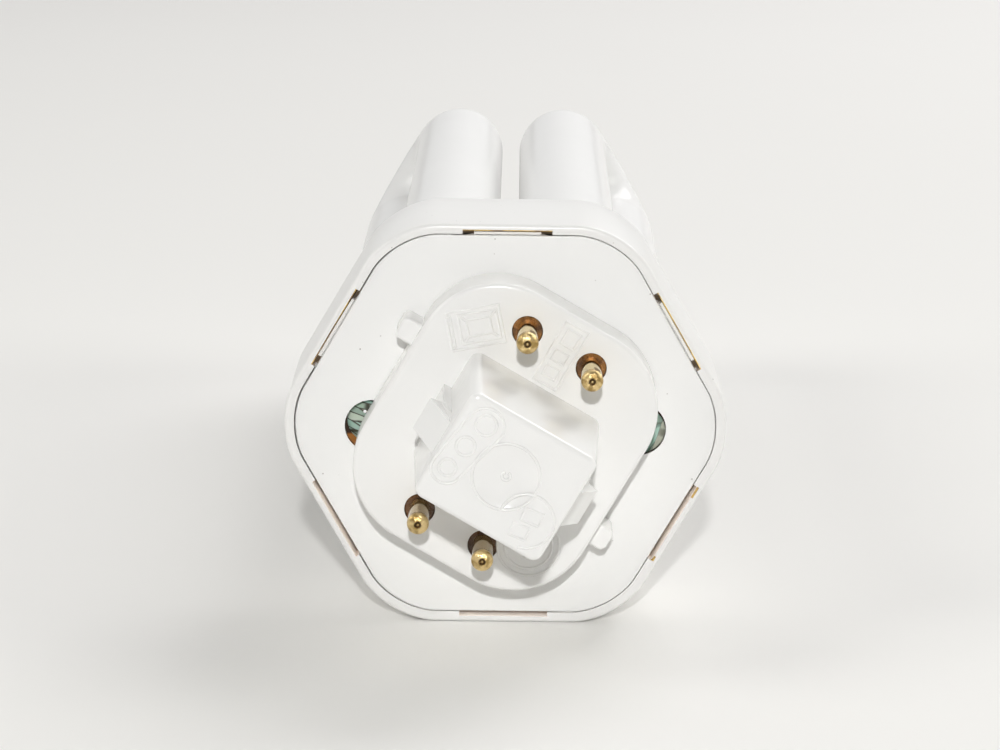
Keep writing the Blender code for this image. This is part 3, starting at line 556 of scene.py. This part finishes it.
def make_latches():
    """Two ramped latches, each carried by a wider rib, on opposite sides of the post."""
    inside = 0.0070
    crest = 0.0140
    heel = 0.0132
    foot = 0.0058
    ramps = []
    ribs = []
    for angle, outward, aside, width in LATCHES:
        ramp = side_shape("latch_ramp", [(inside, 0.0203), (inside, heel), (0.00893, heel),
                                         (0.00997, crest), (0.00746, 0.0199)], width)
        rib = side_shape("latch_rib", [(inside, 0.0200), (inside, foot), (0.00875, foot),
                                       (0.00875, heel)], width + 2 * RIB_MARGIN)
        place = Matrix.Rotation(math.radians(angle), 4, "Z") @ Matrix.Translation((outward, aside, 0))
        ramps.append((ramp, PLUG_TURN @ place))
        ribs.append((rib, PLUG_TURN @ place))
    return [joined("latch_ramps", ramps), joined("latch_ribs", ribs)]


def turned(name, profile, segments):
    """A profile of radius and height, turned about the axis."""
    mesh = bpy.data.meshes.new(name)
    mesh.from_pydata([(radius, 0.0, z) for radius, z in profile],
                     [(i, i + 1) for i in range(len(profile) - 1)], [])
    source = bpy.data.objects.new(name, mesh)
    bpy.context.scene.collection.objects.link(source)
    screw = source.modifiers.new("turn", "SCREW")
    screw.steps = segments
    screw.render_steps = segments
    screw.use_merge_vertices = True
    screw.merge_threshold = 1e-6
    made = shaped(source, name)
    shape = bmesh.new()
    shape.from_mesh(made)
    bmesh.ops.remove_doubles(shape, verts=shape.verts, dist=1e-7)
    return finish_mesh(name, shape)


def make_plug():
    body = block("plug", PLUG_HALF_LONG, PLUG_HALF_WIDE, PLUG_CORNER, PLUG_FOOT, PLUG_HEIGHT,
                 front_edge=PLUG_EDGE, segments=20)
    body.transform(PLUG_TURN)
    post = block("post", *POST_BASE_HALF, POST_CORNER, PLUG_HEIGHT - CUT_PAST, POST_END, *POST_TOP_HALF,
                 front_edge=POST_EDGE, segments=8)
    post.transform(PLUG_TURN @ Matrix.Translation((0, POST_ASIDE, 0)))
    lug = block("key_lug", *LUG_HALF, LUG_CORNER, PLUG_FOOT, LUG_TOP, front_edge=LUG_EDGE, segments=6)
    lugs = joined("key_lugs", [(lug, PLUG_TURN @ Matrix.Translation((*spot, 0))) for spot in LUG_SPOTS])
    well = bar("pin_well", WELL_RADIUS, WELL_FLOOR, PLUG_HEIGHT + CUT_PAST, 72)
    wells = joined("pin_wells", [(well, PLUG_TURN @ Matrix.Translation((*spot, 0))) for spot in PIN_SPOTS])
    steps = [("UNION", with_finish(mesh, plug_plastic)) for mesh in [post, lugs] + make_latches()]
    dish_line = [(DISC_RADIUS * step / 14, -DISC_DEPTH * (1 - (step / 14) ** 4))
                 for step in range(14, -1, -1)]
    dish = turned("dish", [(0.0, CUT_PAST), (DISC_RADIUS, CUT_PAST)] + dish_line, 72)
    dish.transform(PLUG_TURN @ Matrix.Translation((*DISC_CENTRE, POST_END)))
    steps += [("DIFFERENCE", with_finish(wells, well_wall)),
              ("DIFFERENCE", with_finish(dish, plug_plastic))]
    return worked("plug_body", with_finish(body, plug_plastic), steps)


show("plug_body", make_plug(), None, "plug")


# Mould lines: fine raised frames and rings on the plug and on the post's end.
# They are the plug's own plastic, left by lines that are cut into its mould.
LINE_RADIUS = 0.00017
LINE_SUNK = 0.00003
GATE_RADIUS = 0.00042
GATE_PROUD = 0.00007
BADGE_CENTRE = (0.0093, 0.0087)
BADGE_INNER = (0.0013, 0.0009)
BADGE_OUTER = (0.0021, 0.0016)
BADGE_TURN = -49.0


def circle(centre, radius, start=0.0, end=360.0, steps=48):
    angles = [math.radians(start + (end - start) * step / steps) for step in range(steps + 1)]
    return [(centre[0] + radius * math.cos(a), centre[1] + radius * math.sin(a)) for a in angles]


def frame_line(centre, long, wide, turn):
    """A rectangle of two half widths, turned by an angle in degrees."""
    corners = [(-long, -wide), (long, -wide), (long, wide), (-long, wide), (-long, -wide)]
    cosine = math.cos(math.radians(turn))
    sine = math.sin(math.radians(turn))
    return [(centre[0] + cosine * x - sine * y, centre[1] + sine * x + cosine * y) for x, y in corners]


def mitres(centre, inner, outer, turn):
    """The four short lines between the corners of two frames."""
    small = frame_line(centre, *inner, turn)
    large = frame_line(centre, *outer, turn)
    return [[small[corner], large[corner]] for corner in range(4)]


def pill(first, first_radius, second, second_radius):
    """Outline round two circles of unlike size."""
    along = Vector(second) - Vector(first)
    lean = math.degrees(math.acos((first_radius - second_radius) / along.length))
    turn = math.degrees(math.atan2(along.y, along.x))
    outline = circle(first, first_radius, turn + lean, turn + 360 - lean, 28)
    outline += circle(second, second_radius, turn - lean, turn + lean, 28)
    return outline + outline[:1]


def bent_tube(name, points, radius, section):
    curve = bpy.data.curves.new(name, "CURVE")
    curve.dimensions = "3D"
    curve.bevel_depth = radius
    curve.bevel_resolution = section
    curve.use_fill_caps = True
    line = curve.splines.new("POLY")
    line.points.add(len(points) - 1)
    for point, place in zip(line.points, points):
        point.co = (*place, 1.0)
    source = bpy.data.objects.new(name, curve)
    bpy.context.scene.collection.objects.link(source)
    mesh = shaped(source, name)
    shape = bmesh.new()
    shape.from_mesh(mesh)
    bmesh.ops.remove_doubles(shape, verts=shape.verts, dist=1e-6)
    return finish_mesh(name, shape)


def raised_line(name, line, height):
    return bent_tube(name, [Vector((*point, height)) for point in line], LINE_RADIUS, 2)


def make_relief():
    on_post = [
        circle(DISC_CENTRE, DISC_RADIUS),
        pill((0.0036, 0.0044), 0.0020, (-0.0022, 0.0056), 0.00165),
        circle((0.0038, 0.0044), 0.0011),
        circle((0.0008, 0.0051), 0.0010),
        circle((-0.0021, 0.0056), 0.0009),
        circle((-0.0029, -0.0044), 0.0029, -168, 98),
        frame_line((-0.0022, -0.0047), 0.0007, 0.0010, 8.0),
        frame_line((-0.0042, -0.0043), 0.0007, 0.0009, 8.0),
    ]
    on_plug = [
        frame_line((0.0090, 0.0090), 0.0029, 0.0021, BADGE_TURN),
        frame_line(BADGE_CENTRE, *BADGE_OUTER, BADGE_TURN),
        frame_line(BADGE_CENTRE, *BADGE_INNER, BADGE_TURN),
        *mitres(BADGE_CENTRE, BADGE_INNER, BADGE_OUTER, BADGE_TURN),
        frame_line((0.0072, 0.0110), 0.0002, 0.0017, BADGE_TURN),
        frame_line((0.0110, -0.0005), 0.0036, 0.00140, 1.0),
        frame_line((0.0131, -0.0005), 0.0009, 0.0008, 1.0),
        frame_line((0.0108, -0.0005), 0.0006, 0.0008, 1.0),
        frame_line((0.0089, -0.0005), 0.0006, 0.0008, 1.0),
        circle((-0.0090, -0.0083), 0.0034),
        circle((-0.0090, -0.0083), 0.0026),
        frame_line((-0.0090, -0.0083), 0.0014, 0.0007, 30.0),
    ]
    gate = circle(DISC_CENTRE, GATE_RADIUS, 40, 350, 20)
    lines = [raised_line("post_line", line, POST_END - LINE_SUNK) for line in on_post]
    lines += [raised_line("gate_ring", gate, POST_END - DISC_DEPTH + GATE_PROUD)]
    lines += [raised_line("plug_line", line, PLUG_HEIGHT - LINE_SUNK) for line in on_plug]
    return joined("mould_lines", [(line, PLUG_TURN) for line in lines])


show("mould_lines", make_relief(), plug_plastic, sharp=60)


# Contact pins: four turned brass pins, each with a collar at its foot and a small drilled tip.
# Each is riveted through the plug's face and stands in its well.
PIN_RADIUS = 0.001175
PIN_TIP = 0.0131
COLLAR_TOP = 0.00575
BRASS_LIGHT = (0.78, 0.60, 0.30)
BRASS_DARK = (0.42, 0.28, 0.10)
SHAFT_LIGHT = (0.76, 0.60, 0.27)
SHAFT_DARK = (0.64, 0.47, 0.15)
SHAFT_SHADE = (0.30, 0.19, 0.08)
PAINTED_DARK = (0.10, 0.06, 0.03)
COLLAR_REFLECTION_LIGHT = (0.38, 0.170, 0.046)
COLLAR_REFLECTION_DARK = (0.11, 0.052, 0.022)
brass = Finish("pin_brass")

# Where on a pin a point lies: its height over the cover, and its way from that pin's axis.
height = -1.0 * brass.along("Y") + COVER_FACE_Y
turn_cos = math.cos(PLUG_ANGLE)
turn_sin = math.sin(PLUG_ANGLE)
long_way = turn_cos * brass.along("X") + turn_sin * (brass.along("Z") - AXIS_HEIGHT)
short_way = turn_cos * (brass.along("Z") - AXIS_HEIGHT) - turn_sin * brass.along("X")
outward = long_way.size() - PIN_LONG
aside = (short_way.size() - PIN_SHORT).size()
from_axis = (outward * outward + aside * aside).power(0.5)

# The collar, painted amber for the warm reflection in its brass; the rounded tip; painted shade on the two
# lower pins, where the post shades them; painted shade in the tip's dimple; and one painted dark reflection
# beside it.
collar = 1.0 - brass.fade(height, COLLAR_TOP + 0.0001, COLLAR_TOP + 0.0004)
tip = brass.fade(height, PIN_TIP - 0.0014, PIN_TIP - 0.0010)
lower_pin_shade = 1.0 - brass.fade(brass.along("Z") - AXIS_HEIGHT, -0.0030, 0.0030)
dimple_shade = (1.0 - brass.fade(from_axis, 0.00032, 0.00042)) * brass.fade(from_axis, 0.00006, 0.00020)
tip_dark_reflection = (brass.fade(outward, 0.00080, 0.00105) * (1.0 - brass.fade(aside, 0.00025, 0.00050))
        * brass.fade(height, PIN_TIP - 0.0028, PIN_TIP - 0.0021)
        * (1.0 - brass.fade(height, PIN_TIP - 0.0010, PIN_TIP - 0.0007)))
worked_brass = brass.blend(brass.fade(brass.noise(1100.0, 3.0), 0.36, 0.60), BRASS_DARK, BRASS_LIGHT)
# Painted shade darkens the tip's dimple.
worked_brass = brass.blend(0.85 * dimple_shade, worked_brass, PAINTED_DARK)
shaft_brass = brass.blend(brass.noise(500.0, 3.0), SHAFT_DARK, SHAFT_LIGHT)
# Painted shade darkens the two lower pins' shafts, where the post shades them.
shaft_brass = brass.blend(0.7 * lower_pin_shade, shaft_brass, SHAFT_SHADE)
# The collar is painted amber for the warm reflection its brass shows, darker on the lower pins as painted
# shade.
amber = brass.blend(brass.fade(brass.noise(700.0, 3.0), 0.30, 0.62) * (1.0 - 0.8 * lower_pin_shade),
                    COLLAR_REFLECTION_DARK, COLLAR_REFLECTION_LIGHT)
# A painted dark reflection stands on each pin's outer side, just below the tip.
surface_brass = brass.blend(0.9 * tip_dark_reflection, brass.blend(tip, shaft_brass, worked_brass), PAINTED_DARK)
brass.set("Base Color", brass.blend(collar, surface_brass, amber))
brass.set("Metallic", 1.0 - 0.6 * collar - 0.3 * lower_pin_shade * (1.0 - tip) - 0.5 * tip_dark_reflection)
brass.set("Roughness", 0.05 + 0.55 * tip_dark_reflection + 0.25 * tip + 0.05 * brass.noise(1500.0, 2.0) + 0.20 * collar)
brass.dents(tip * brass.noise(2400.0, 3.0), 0.00020, 0.8)


def arc(centre, radius, start, end, segments):
    """Points of a profile on part of a circle, from one angle in degrees to another."""
    angles = [math.radians(start + (end - start) * step / segments) for step in range(segments + 1)]
    return [(centre[0] + radius * math.cos(a), centre[1] + radius * math.sin(a)) for a in angles]


def pin_profile():
    """Half of a pin's section, from its tip down to its riveted tail."""
    shank = PIN_RADIUS - 0.00004
    collar_radius = 0.00163
    foot = WELL_FLOOR + 0.0001
    profile = [(0.0, PIN_TIP - 0.00012), (0.00011, PIN_TIP - 0.00015), (0.00019, PIN_TIP - 0.00024)]
    profile += [(0.00024, PIN_TIP - 0.00036), (0.00031, PIN_TIP - 0.00036), (0.00036, PIN_TIP - 0.00020)]
    profile += arc((0.00047, PIN_TIP - 0.00012), 0.00010, 180, 90, 4)
    profile += arc((PIN_RADIUS - 0.00062, PIN_TIP - 0.00075), 0.00062, 76, 0, 12)
    profile += [(PIN_RADIUS + 0.00002, PIN_TIP - 0.0009), (shank, PIN_TIP - 0.0012)]
    profile += [(shank, PIN_TIP - 0.0013), (shank, COLLAR_TOP)]
    profile += [(collar_radius - 0.00005, COLLAR_TOP), (collar_radius, COLLAR_TOP - 0.00005)]
    profile += [(collar_radius, foot), (0.0010, foot)]
    profile += [(0.0010, 0.0012), (0.0017, 0.0012), (0.0017, 0.0008)]
    profile += [(0.0009, 0.0008), (0.0009, 0.0001), (0.0, 0.0001)]
    return profile


pin_mesh = turned("contact_pin", pin_profile(), 64)
for index, spot in enumerate(PIN_SPOTS, start=1):
    mesh = pin_mesh.copy()
    mesh.transform(PLUG_TURN @ Matrix.Translation((*spot, 0)))
    show(f"pin_{index}", mesh, brass, f"contact_pin_{index}", sharp=40)


# Discharge tube: three glass tubes bent to U shape and fused by two short bridges.
# The glass is clear, and a white powder coats its inside. Cement holds its six legs in the housing.
TUBE_REACH = 0.1284
LEG_END = 0.0084
BEND_RADIUS = TUBE_CIRCLE / 2
BEND_START = TUBE_REACH - TUBE_RADIUS - BEND_RADIUS
BRIDGE_RADIUS = 0.0034
BRIDGE_DEPTH = HOUSING_DEPTH + 0.0062
PHOSPHOR_LIGHT = (0.838, 0.835, 0.827)
PHOSPHOR_DARK = (0.805, 0.802, 0.794)
phosphor = Finish("phosphor_coated_glass", Coat_Weight=0.4, Coat_Roughness=0.12, Coat_IOR=1.5)
phosphor.set("Base Color", phosphor.blend(phosphor.noise(90.0, 3.0), PHOSPHOR_DARK, PHOSPHOR_LIGHT))
phosphor.set("Roughness", 0.55 + 0.15 * phosphor.noise(300.0))
phosphor.dents(phosphor.noise(35.0, 1.0), 0.0001, 0.05)


def tube_line(first, second):
    """The middle line of one U: up a leg at the first angle, round, and down a leg at the second."""
    near = Vector((math.cos(first), math.sin(first), 0)) * TUBE_CIRCLE
    far = Vector((math.cos(second), math.sin(second), 0)) * TUBE_CIRCLE
    middle = (near + far) / 2
    half = (near - far) / 2
    turns = [math.pi * step / 40 for step in range(41)]
    bend = [middle + half * math.cos(turn) - Vector((0, 0, BEND_START + BEND_RADIUS * math.sin(turn)))
            for turn in turns]
    return [near - Vector((0, 0, LEG_END))] + bend + [far - Vector((0, 0, LEG_END))]


def make_tubes():
    pairs = [(LEG_ANGLES[first], LEG_ANGLES[first + 1]) for first in (0, 2, 4)]
    tubes = [with_finish(bent_tube("u_tube", tube_line(*pair), TUBE_RADIUS, 22), phosphor)
             for pair in pairs]
    bridge = bar("bridge", BRIDGE_RADIUS, -BEND_RADIUS, BEND_RADIUS, 40)
    lying = Matrix.Rotation(math.radians(90), 4, "X")
    level = Matrix.Translation((0, 0, -BRIDGE_DEPTH))
    distance = TUBE_CIRCLE * math.cos(math.radians(30))
    bridges = joined("bridges", [(bridge, level @ around(SIDE_ANGLES[side], distance) @ lying)
                                 for side in (1, 3)])
    return worked("glass_tubes", tubes[0], [("UNION", tubes[1]), ("UNION", tubes[2]),
                                            ("UNION", with_finish(bridges, phosphor))])


show("glass_tubes", make_tubes(), None, "discharge_tube", sharp=50)


# Glass ends: the clear ends of the six legs, bare of powder, and the pinched tips that the two holes show.
# They are the same glass as the tube, heated and shaped; their folds are painted in green, pale and dark
# tones for the light and reflections they catch.
GLASS_TONES = [(0.0, (0.33, 0.42, 0.34)), (0.22, (0.58, 0.90, 0.78)), (0.4, (0.30, 0.42, 0.34)),
               (0.58, (0.58, 0.72, 0.56)), (0.72, (0.28, 0.58, 0.50)), (0.86, (0.70, 0.58, 0.47)),
               (1.0, (0.55, 0.78, 0.66))]
FOLD_DARK = (0.065, 0.065, 0.045)
FOLD_LEAN = math.radians(22)
FOLD_WIDTH = 0.00060
FOLD_LENGTH = 0.0040
clear_end = Finish("clear_glass_end", Coat_Weight=0.5, Coat_Roughness=0.06, Subsurface_Weight=0.6,
                   Subsurface_Scale=0.0010, Subsurface_Radius=(1.0, 1.0, 1.0))
sideways = clear_end.along("X")
upwards = clear_end.along("Z") - AXIS_HEIGHT
right_hand = 1.0 - sideways.below(0.0)
slow = clear_end.noise(320.0)
across = math.cos(FOLD_LEAN) * upwards + math.sin(FOLD_LEAN) * sideways
length = math.cos(FOLD_LEAN) * sideways - math.sin(FOLD_LEAN) * upwards
folds = clear_end.node("ShaderNodeCombineXYZ", {}, {
    0: (across * (1.0 - right_hand) + length * right_hand) * (1.0 / FOLD_WIDTH) + 0.8 * slow,
    1: (length * (1.0 - right_hand) + across * right_hand) * (1.0 / FOLD_LENGTH) - 0.6 * slow})
facets = clear_end.node("ShaderNodeTexVoronoi", {"voronoi_dimensions": "2D"},
                        {"Vector": folds, "Scale": 1.0}, "Color")
tones = clear_end.node("ShaderNodeValToRGB", {"stops": GLASS_TONES},
                       {0: clear_end.node("ShaderNodeSeparateColor", {}, {0: facets}, 0)})
edge = clear_end.node("ShaderNodeTexVoronoi", {"voronoi_dimensions": "2D", "feature": "DISTANCE_TO_EDGE"},
                      {"Vector": folds, "Scale": 1.0})
fold_share = clear_end.fade(edge, 0.02, 0.16) + 0.5 * right_hand
clear_end.set("Base Color", clear_end.blend(fold_share, FOLD_DARK, tones))
clear_end.set("Roughness", 0.12 + 0.1 * clear_end.noise(600.0))
clear_end.dents(clear_end.fade(edge, 0.0, 0.25), 0.0001, 0.2)


def make_ends():
    """The six shaped ends, and the pinched tip behind each of the cover's two holes."""
    radius = TUBE_RADIUS - 0.00005
    foot = -LEG_END + 0.0001
    dome = [(radius * math.sin(math.radians(a)), foot + 0.0026 * math.cos(math.radians(a)))
            for a in range(0, 91, 9)]
    end = turned("glass_end", dome + [(radius, foot - 0.002), (0.0, foot - 0.002)], 48)
    tip = turned("glass_tip", [(0.0, -0.00095), (0.0014, -0.0010), (0.0023, -0.00110), (0.0027, -0.0013),
                               (TIP_RADIUS, -0.0017), (TIP_RADIUS, foot), (0.0, foot)], 48)
    ends = [(end, around(angle, TUBE_CIRCLE)) for angle in LEG_ANGLES]
    ends += [(tip, Matrix.Translation((*centre, 0))) for centre in TIP_CENTRES]
    return joined("glass_ends", ends)


show("glass_ends", make_ends(), clear_end, sharp=50)


# Resin: a bed of resin round each of the two glass tips, that glues them behind the cover. It is painted
# near black as shade, and amber low on the left where it has run.
RESIN_LIGHT = (0.44, 0.17, 0.035)
RESIN_SHADE = (0.045, 0.025, 0.015)
RUN_FULL = -0.00160
RUN_GONE = -0.00125
resin = Finish("amber_resin", Specular_IOR_Level=0.2)
low = (resin.along("X").below(0.0)
       * (1.0 - resin.fade(resin.along("Z") - AXIS_HEIGHT, RUN_FULL, RUN_GONE)))
resin.set("Base Color", resin.blend(low * (0.6 + 0.6 * resin.noise(500.0, 2.0)), RESIN_SHADE, RESIN_LIGHT))
resin.set("Roughness", 0.3 + 0.2 * resin.noise(900.0))


def make_resin():
    ring = turned("resin_ring", [(0.0019, -0.0018), (0.0019, -0.00135), (0.0026, -0.0014),
                                 (0.0032, -0.00125), (0.0032, -0.0018)], 48)
    return joined("resin_rings", [(ring, hole_place(side)) for side in (-1, 1)])


show("resin_rings", make_resin(), resin, sharp=50)


# Glint: a painted highlight on the left tip, a small white bead that glows faintly.
BEAD_RADIUS = 0.00018
BEAD_PLACE = (-0.01552, 0.00120, -0.00088)
BEAD_LIGHT = (0.98, 0.98, 0.98)
BEAD_DARK = (0.93, 0.95, 0.94)
glint = Finish("glass_glint", Coat_Weight=1.0, Coat_Roughness=0.05, Emission_Color=(1.0, 1.0, 1.0, 1.0),
               Emission_Strength=0.4)
glint.set("Base Color", glint.blend(glint.noise(900.0), BEAD_DARK, BEAD_LIGHT))
glint.set("Roughness", 0.2 + 0.1 * glint.noise(900.0))
bead = bmesh.new()
bmesh.ops.create_uvsphere(bead, u_segments=16, v_segments=10, radius=BEAD_RADIUS,
                          matrix=Matrix.Translation(BEAD_PLACE))
show("painted_highlight_bead", finish_mesh("painted_highlight_bead", bead), glint)


# Inside the housing: white cement, poured round the six legs behind the rear wall, and four lead wires.
# The wires are bare nickel, sealed in two pinched legs and held in the pins' tails.
CEMENT_LIGHT = (0.82, 0.81, 0.77)
CEMENT_DARK = (0.66, 0.65, 0.61)
NICKEL_LIGHT = (0.70, 0.68, 0.64)
NICKEL_DARK = (0.48, 0.46, 0.43)
cement = Finish("cement", Specular_IOR_Level=0.2)
cement.set("Base Color", cement.blend(cement.noise(300.0, 4.0), CEMENT_DARK, CEMENT_LIGHT))
cement.set("Roughness", 0.8 + 0.15 * cement.noise(500.0))
cement.dents(cement.noise(700.0, 4.0), 0.0002, 0.6)
nickel = Finish("nickel_wire", Metallic=1.0)
nickel.set("Base Color", nickel.blend(nickel.noise(600.0), NICKEL_DARK, NICKEL_LIGHT))
nickel.set("Roughness", 0.28 + 0.15 * nickel.noise(900.0))
for node, finish in [("tube_cement", cement)] + [(f"lead_wire_{n}", nickel) for n in range(1, 5)]:
    with_finish(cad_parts[node].data, finish)


# Ground: one wide sheet of matt, warm white paper, that lies flat on the table.
# The lamp rests on it, and its far edge is out of sight.
FLOOR_HALF = 6.0
FLOOR_LIGHT = (0.860, 0.852, 0.832)
FLOOR_DARK = (0.845, 0.836, 0.815)
floor_shape = bmesh.new()
bmesh.ops.create_grid(floor_shape, x_segments=1, y_segments=1, size=FLOOR_HALF)
floor = bpy.data.objects.new("floor", finish_mesh("floor", floor_shape))
bpy.context.scene.collection.objects.link(floor)
sheet = Finish("floor_sheet", Specular_IOR_Level=0.10)
sheet.set("Base Color", sheet.blend(sheet.noise(6.0, 3.0), FLOOR_DARK, FLOOR_LIGHT))
sheet.set("Roughness", 0.62 + 0.08 * sheet.noise(40.0))
floor.data.materials.append(sheet.material)


# Light: a small lamp above the camera throws the sharp shadows, and wide ones fill in from both sides.
# A wide lamp behind on the right throws the soft shadow to the front left.
def area_lamp(name, place, aim, size, power, colour, spread=180):
    data = bpy.data.lights.new(name, "AREA")
    data.shape = "DISK"
    data.size = size
    data.energy = power
    data.color = colour
    data.spread = math.radians(spread)
    lamp = bpy.data.objects.new(name, data)
    lamp.location = place
    lamp.rotation_euler = (Vector(aim) - Vector(place)).to_track_quat("-Z", "Y").to_euler()
    bpy.context.scene.collection.objects.link(lamp)


KEY_ELEVATION = math.radians(24.3)
KEY_DISTANCE = 0.95
KEY_PLACE = (0.0, COVER_FACE_Y - KEY_DISTANCE * math.cos(KEY_ELEVATION),
             AXIS_HEIGHT + KEY_DISTANCE * math.sin(KEY_ELEVATION))
LAMP_AIM = (0.0, 0.0, 0.02)
area_lamp("key_lamp", KEY_PLACE, (0.0, COVER_FACE_Y, AXIS_HEIGHT),
          size=0.035, power=0.66, colour=(1.0, 1.0, 1.0), spread=70)
area_lamp("rear_lamp", (0.487, 0.707, 0.780), LAMP_AIM, size=0.70, power=5.8, colour=(1.0, 0.99, 1.0))
area_lamp("left_lamp", (-0.90, -0.20, 0.70), LAMP_AIM, size=0.60, power=3.95, colour=(1.0, 0.995, 0.95))
area_lamp("right_lamp", (1.00, -0.10, 0.50), LAMP_AIM, size=0.60, power=3.27, colour=(1.0, 1.0, 0.94))


# Surround: the even light of a pale room behind the lamp, and none in front of it.
# What shines sees a dim room in front, too.
SURROUND_LIGHT = 0.85
ROOM_IN_GLOSS = 0.25


class Surround(Finish):
    """The world's light, varied by direction."""

    def __init__(self, name):
        self.material = bpy.data.worlds.new(name)
        self.material.use_nodes = True
        self.shader = self.material.node_tree.nodes["Background"]


surround = Surround("surround")
direction = surround.node("ShaderNodeTexCoord", {}, {}, "Generated")
depth = surround.node("ShaderNodeSeparateXYZ", {}, {0: direction}, "Y")
behind = surround.fade(depth, 0.0, 0.6)
in_gloss = surround.node("ShaderNodeLightPath", {}, {}, "Is Glossy Ray")
surround.set("Strength", SURROUND_LIGHT * behind + ROOM_IN_GLOSS * in_gloss * (1.0 - behind))
surround.set("Color", (1.0, 1.0, 1.0, 1.0))
bpy.context.scene.world = surround.material


# Camera: at the photograph's place, found from the pins, the plug and the cover.
# Its three angles are in radians.
CAMERA_AZIMUTH = -0.0048539
CAMERA_ELEVATION = 0.2195172
CAMERA_ROLL = 0.0115413
CAMERA_PLACE = (0.00114, -0.42168, 0.11054)
CAMERA_LENS = 123.909
SENSOR_WIDTH = 36.0
forward = Vector((math.sin(CAMERA_AZIMUTH) * math.cos(CAMERA_ELEVATION),
                  math.cos(CAMERA_AZIMUTH) * math.cos(CAMERA_ELEVATION), -math.sin(CAMERA_ELEVATION)))
right = Vector((math.cos(CAMERA_AZIMUTH), -math.sin(CAMERA_AZIMUTH), 0.0))
up = right.cross(forward)
camera_right = math.cos(CAMERA_ROLL) * right + math.sin(CAMERA_ROLL) * up
camera_up = math.cos(CAMERA_ROLL) * up - math.sin(CAMERA_ROLL) * right
camera_data = bpy.data.cameras.new("camera")
camera_data.lens = CAMERA_LENS
camera_data.sensor_width = SENSOR_WIDTH
camera_data.sensor_fit = "HORIZONTAL"
camera_data.clip_start = 0.01
camera = bpy.data.objects.new("camera", camera_data)
camera.matrix_world = Matrix.Translation(CAMERA_PLACE) @ Matrix(
    (camera_right, camera_up, -forward)).transposed().to_4x4()
bpy.context.scene.collection.objects.link(camera)
bpy.context.scene.camera = camera
bpy.context.scene.view_settings.view_transform = "Standard"
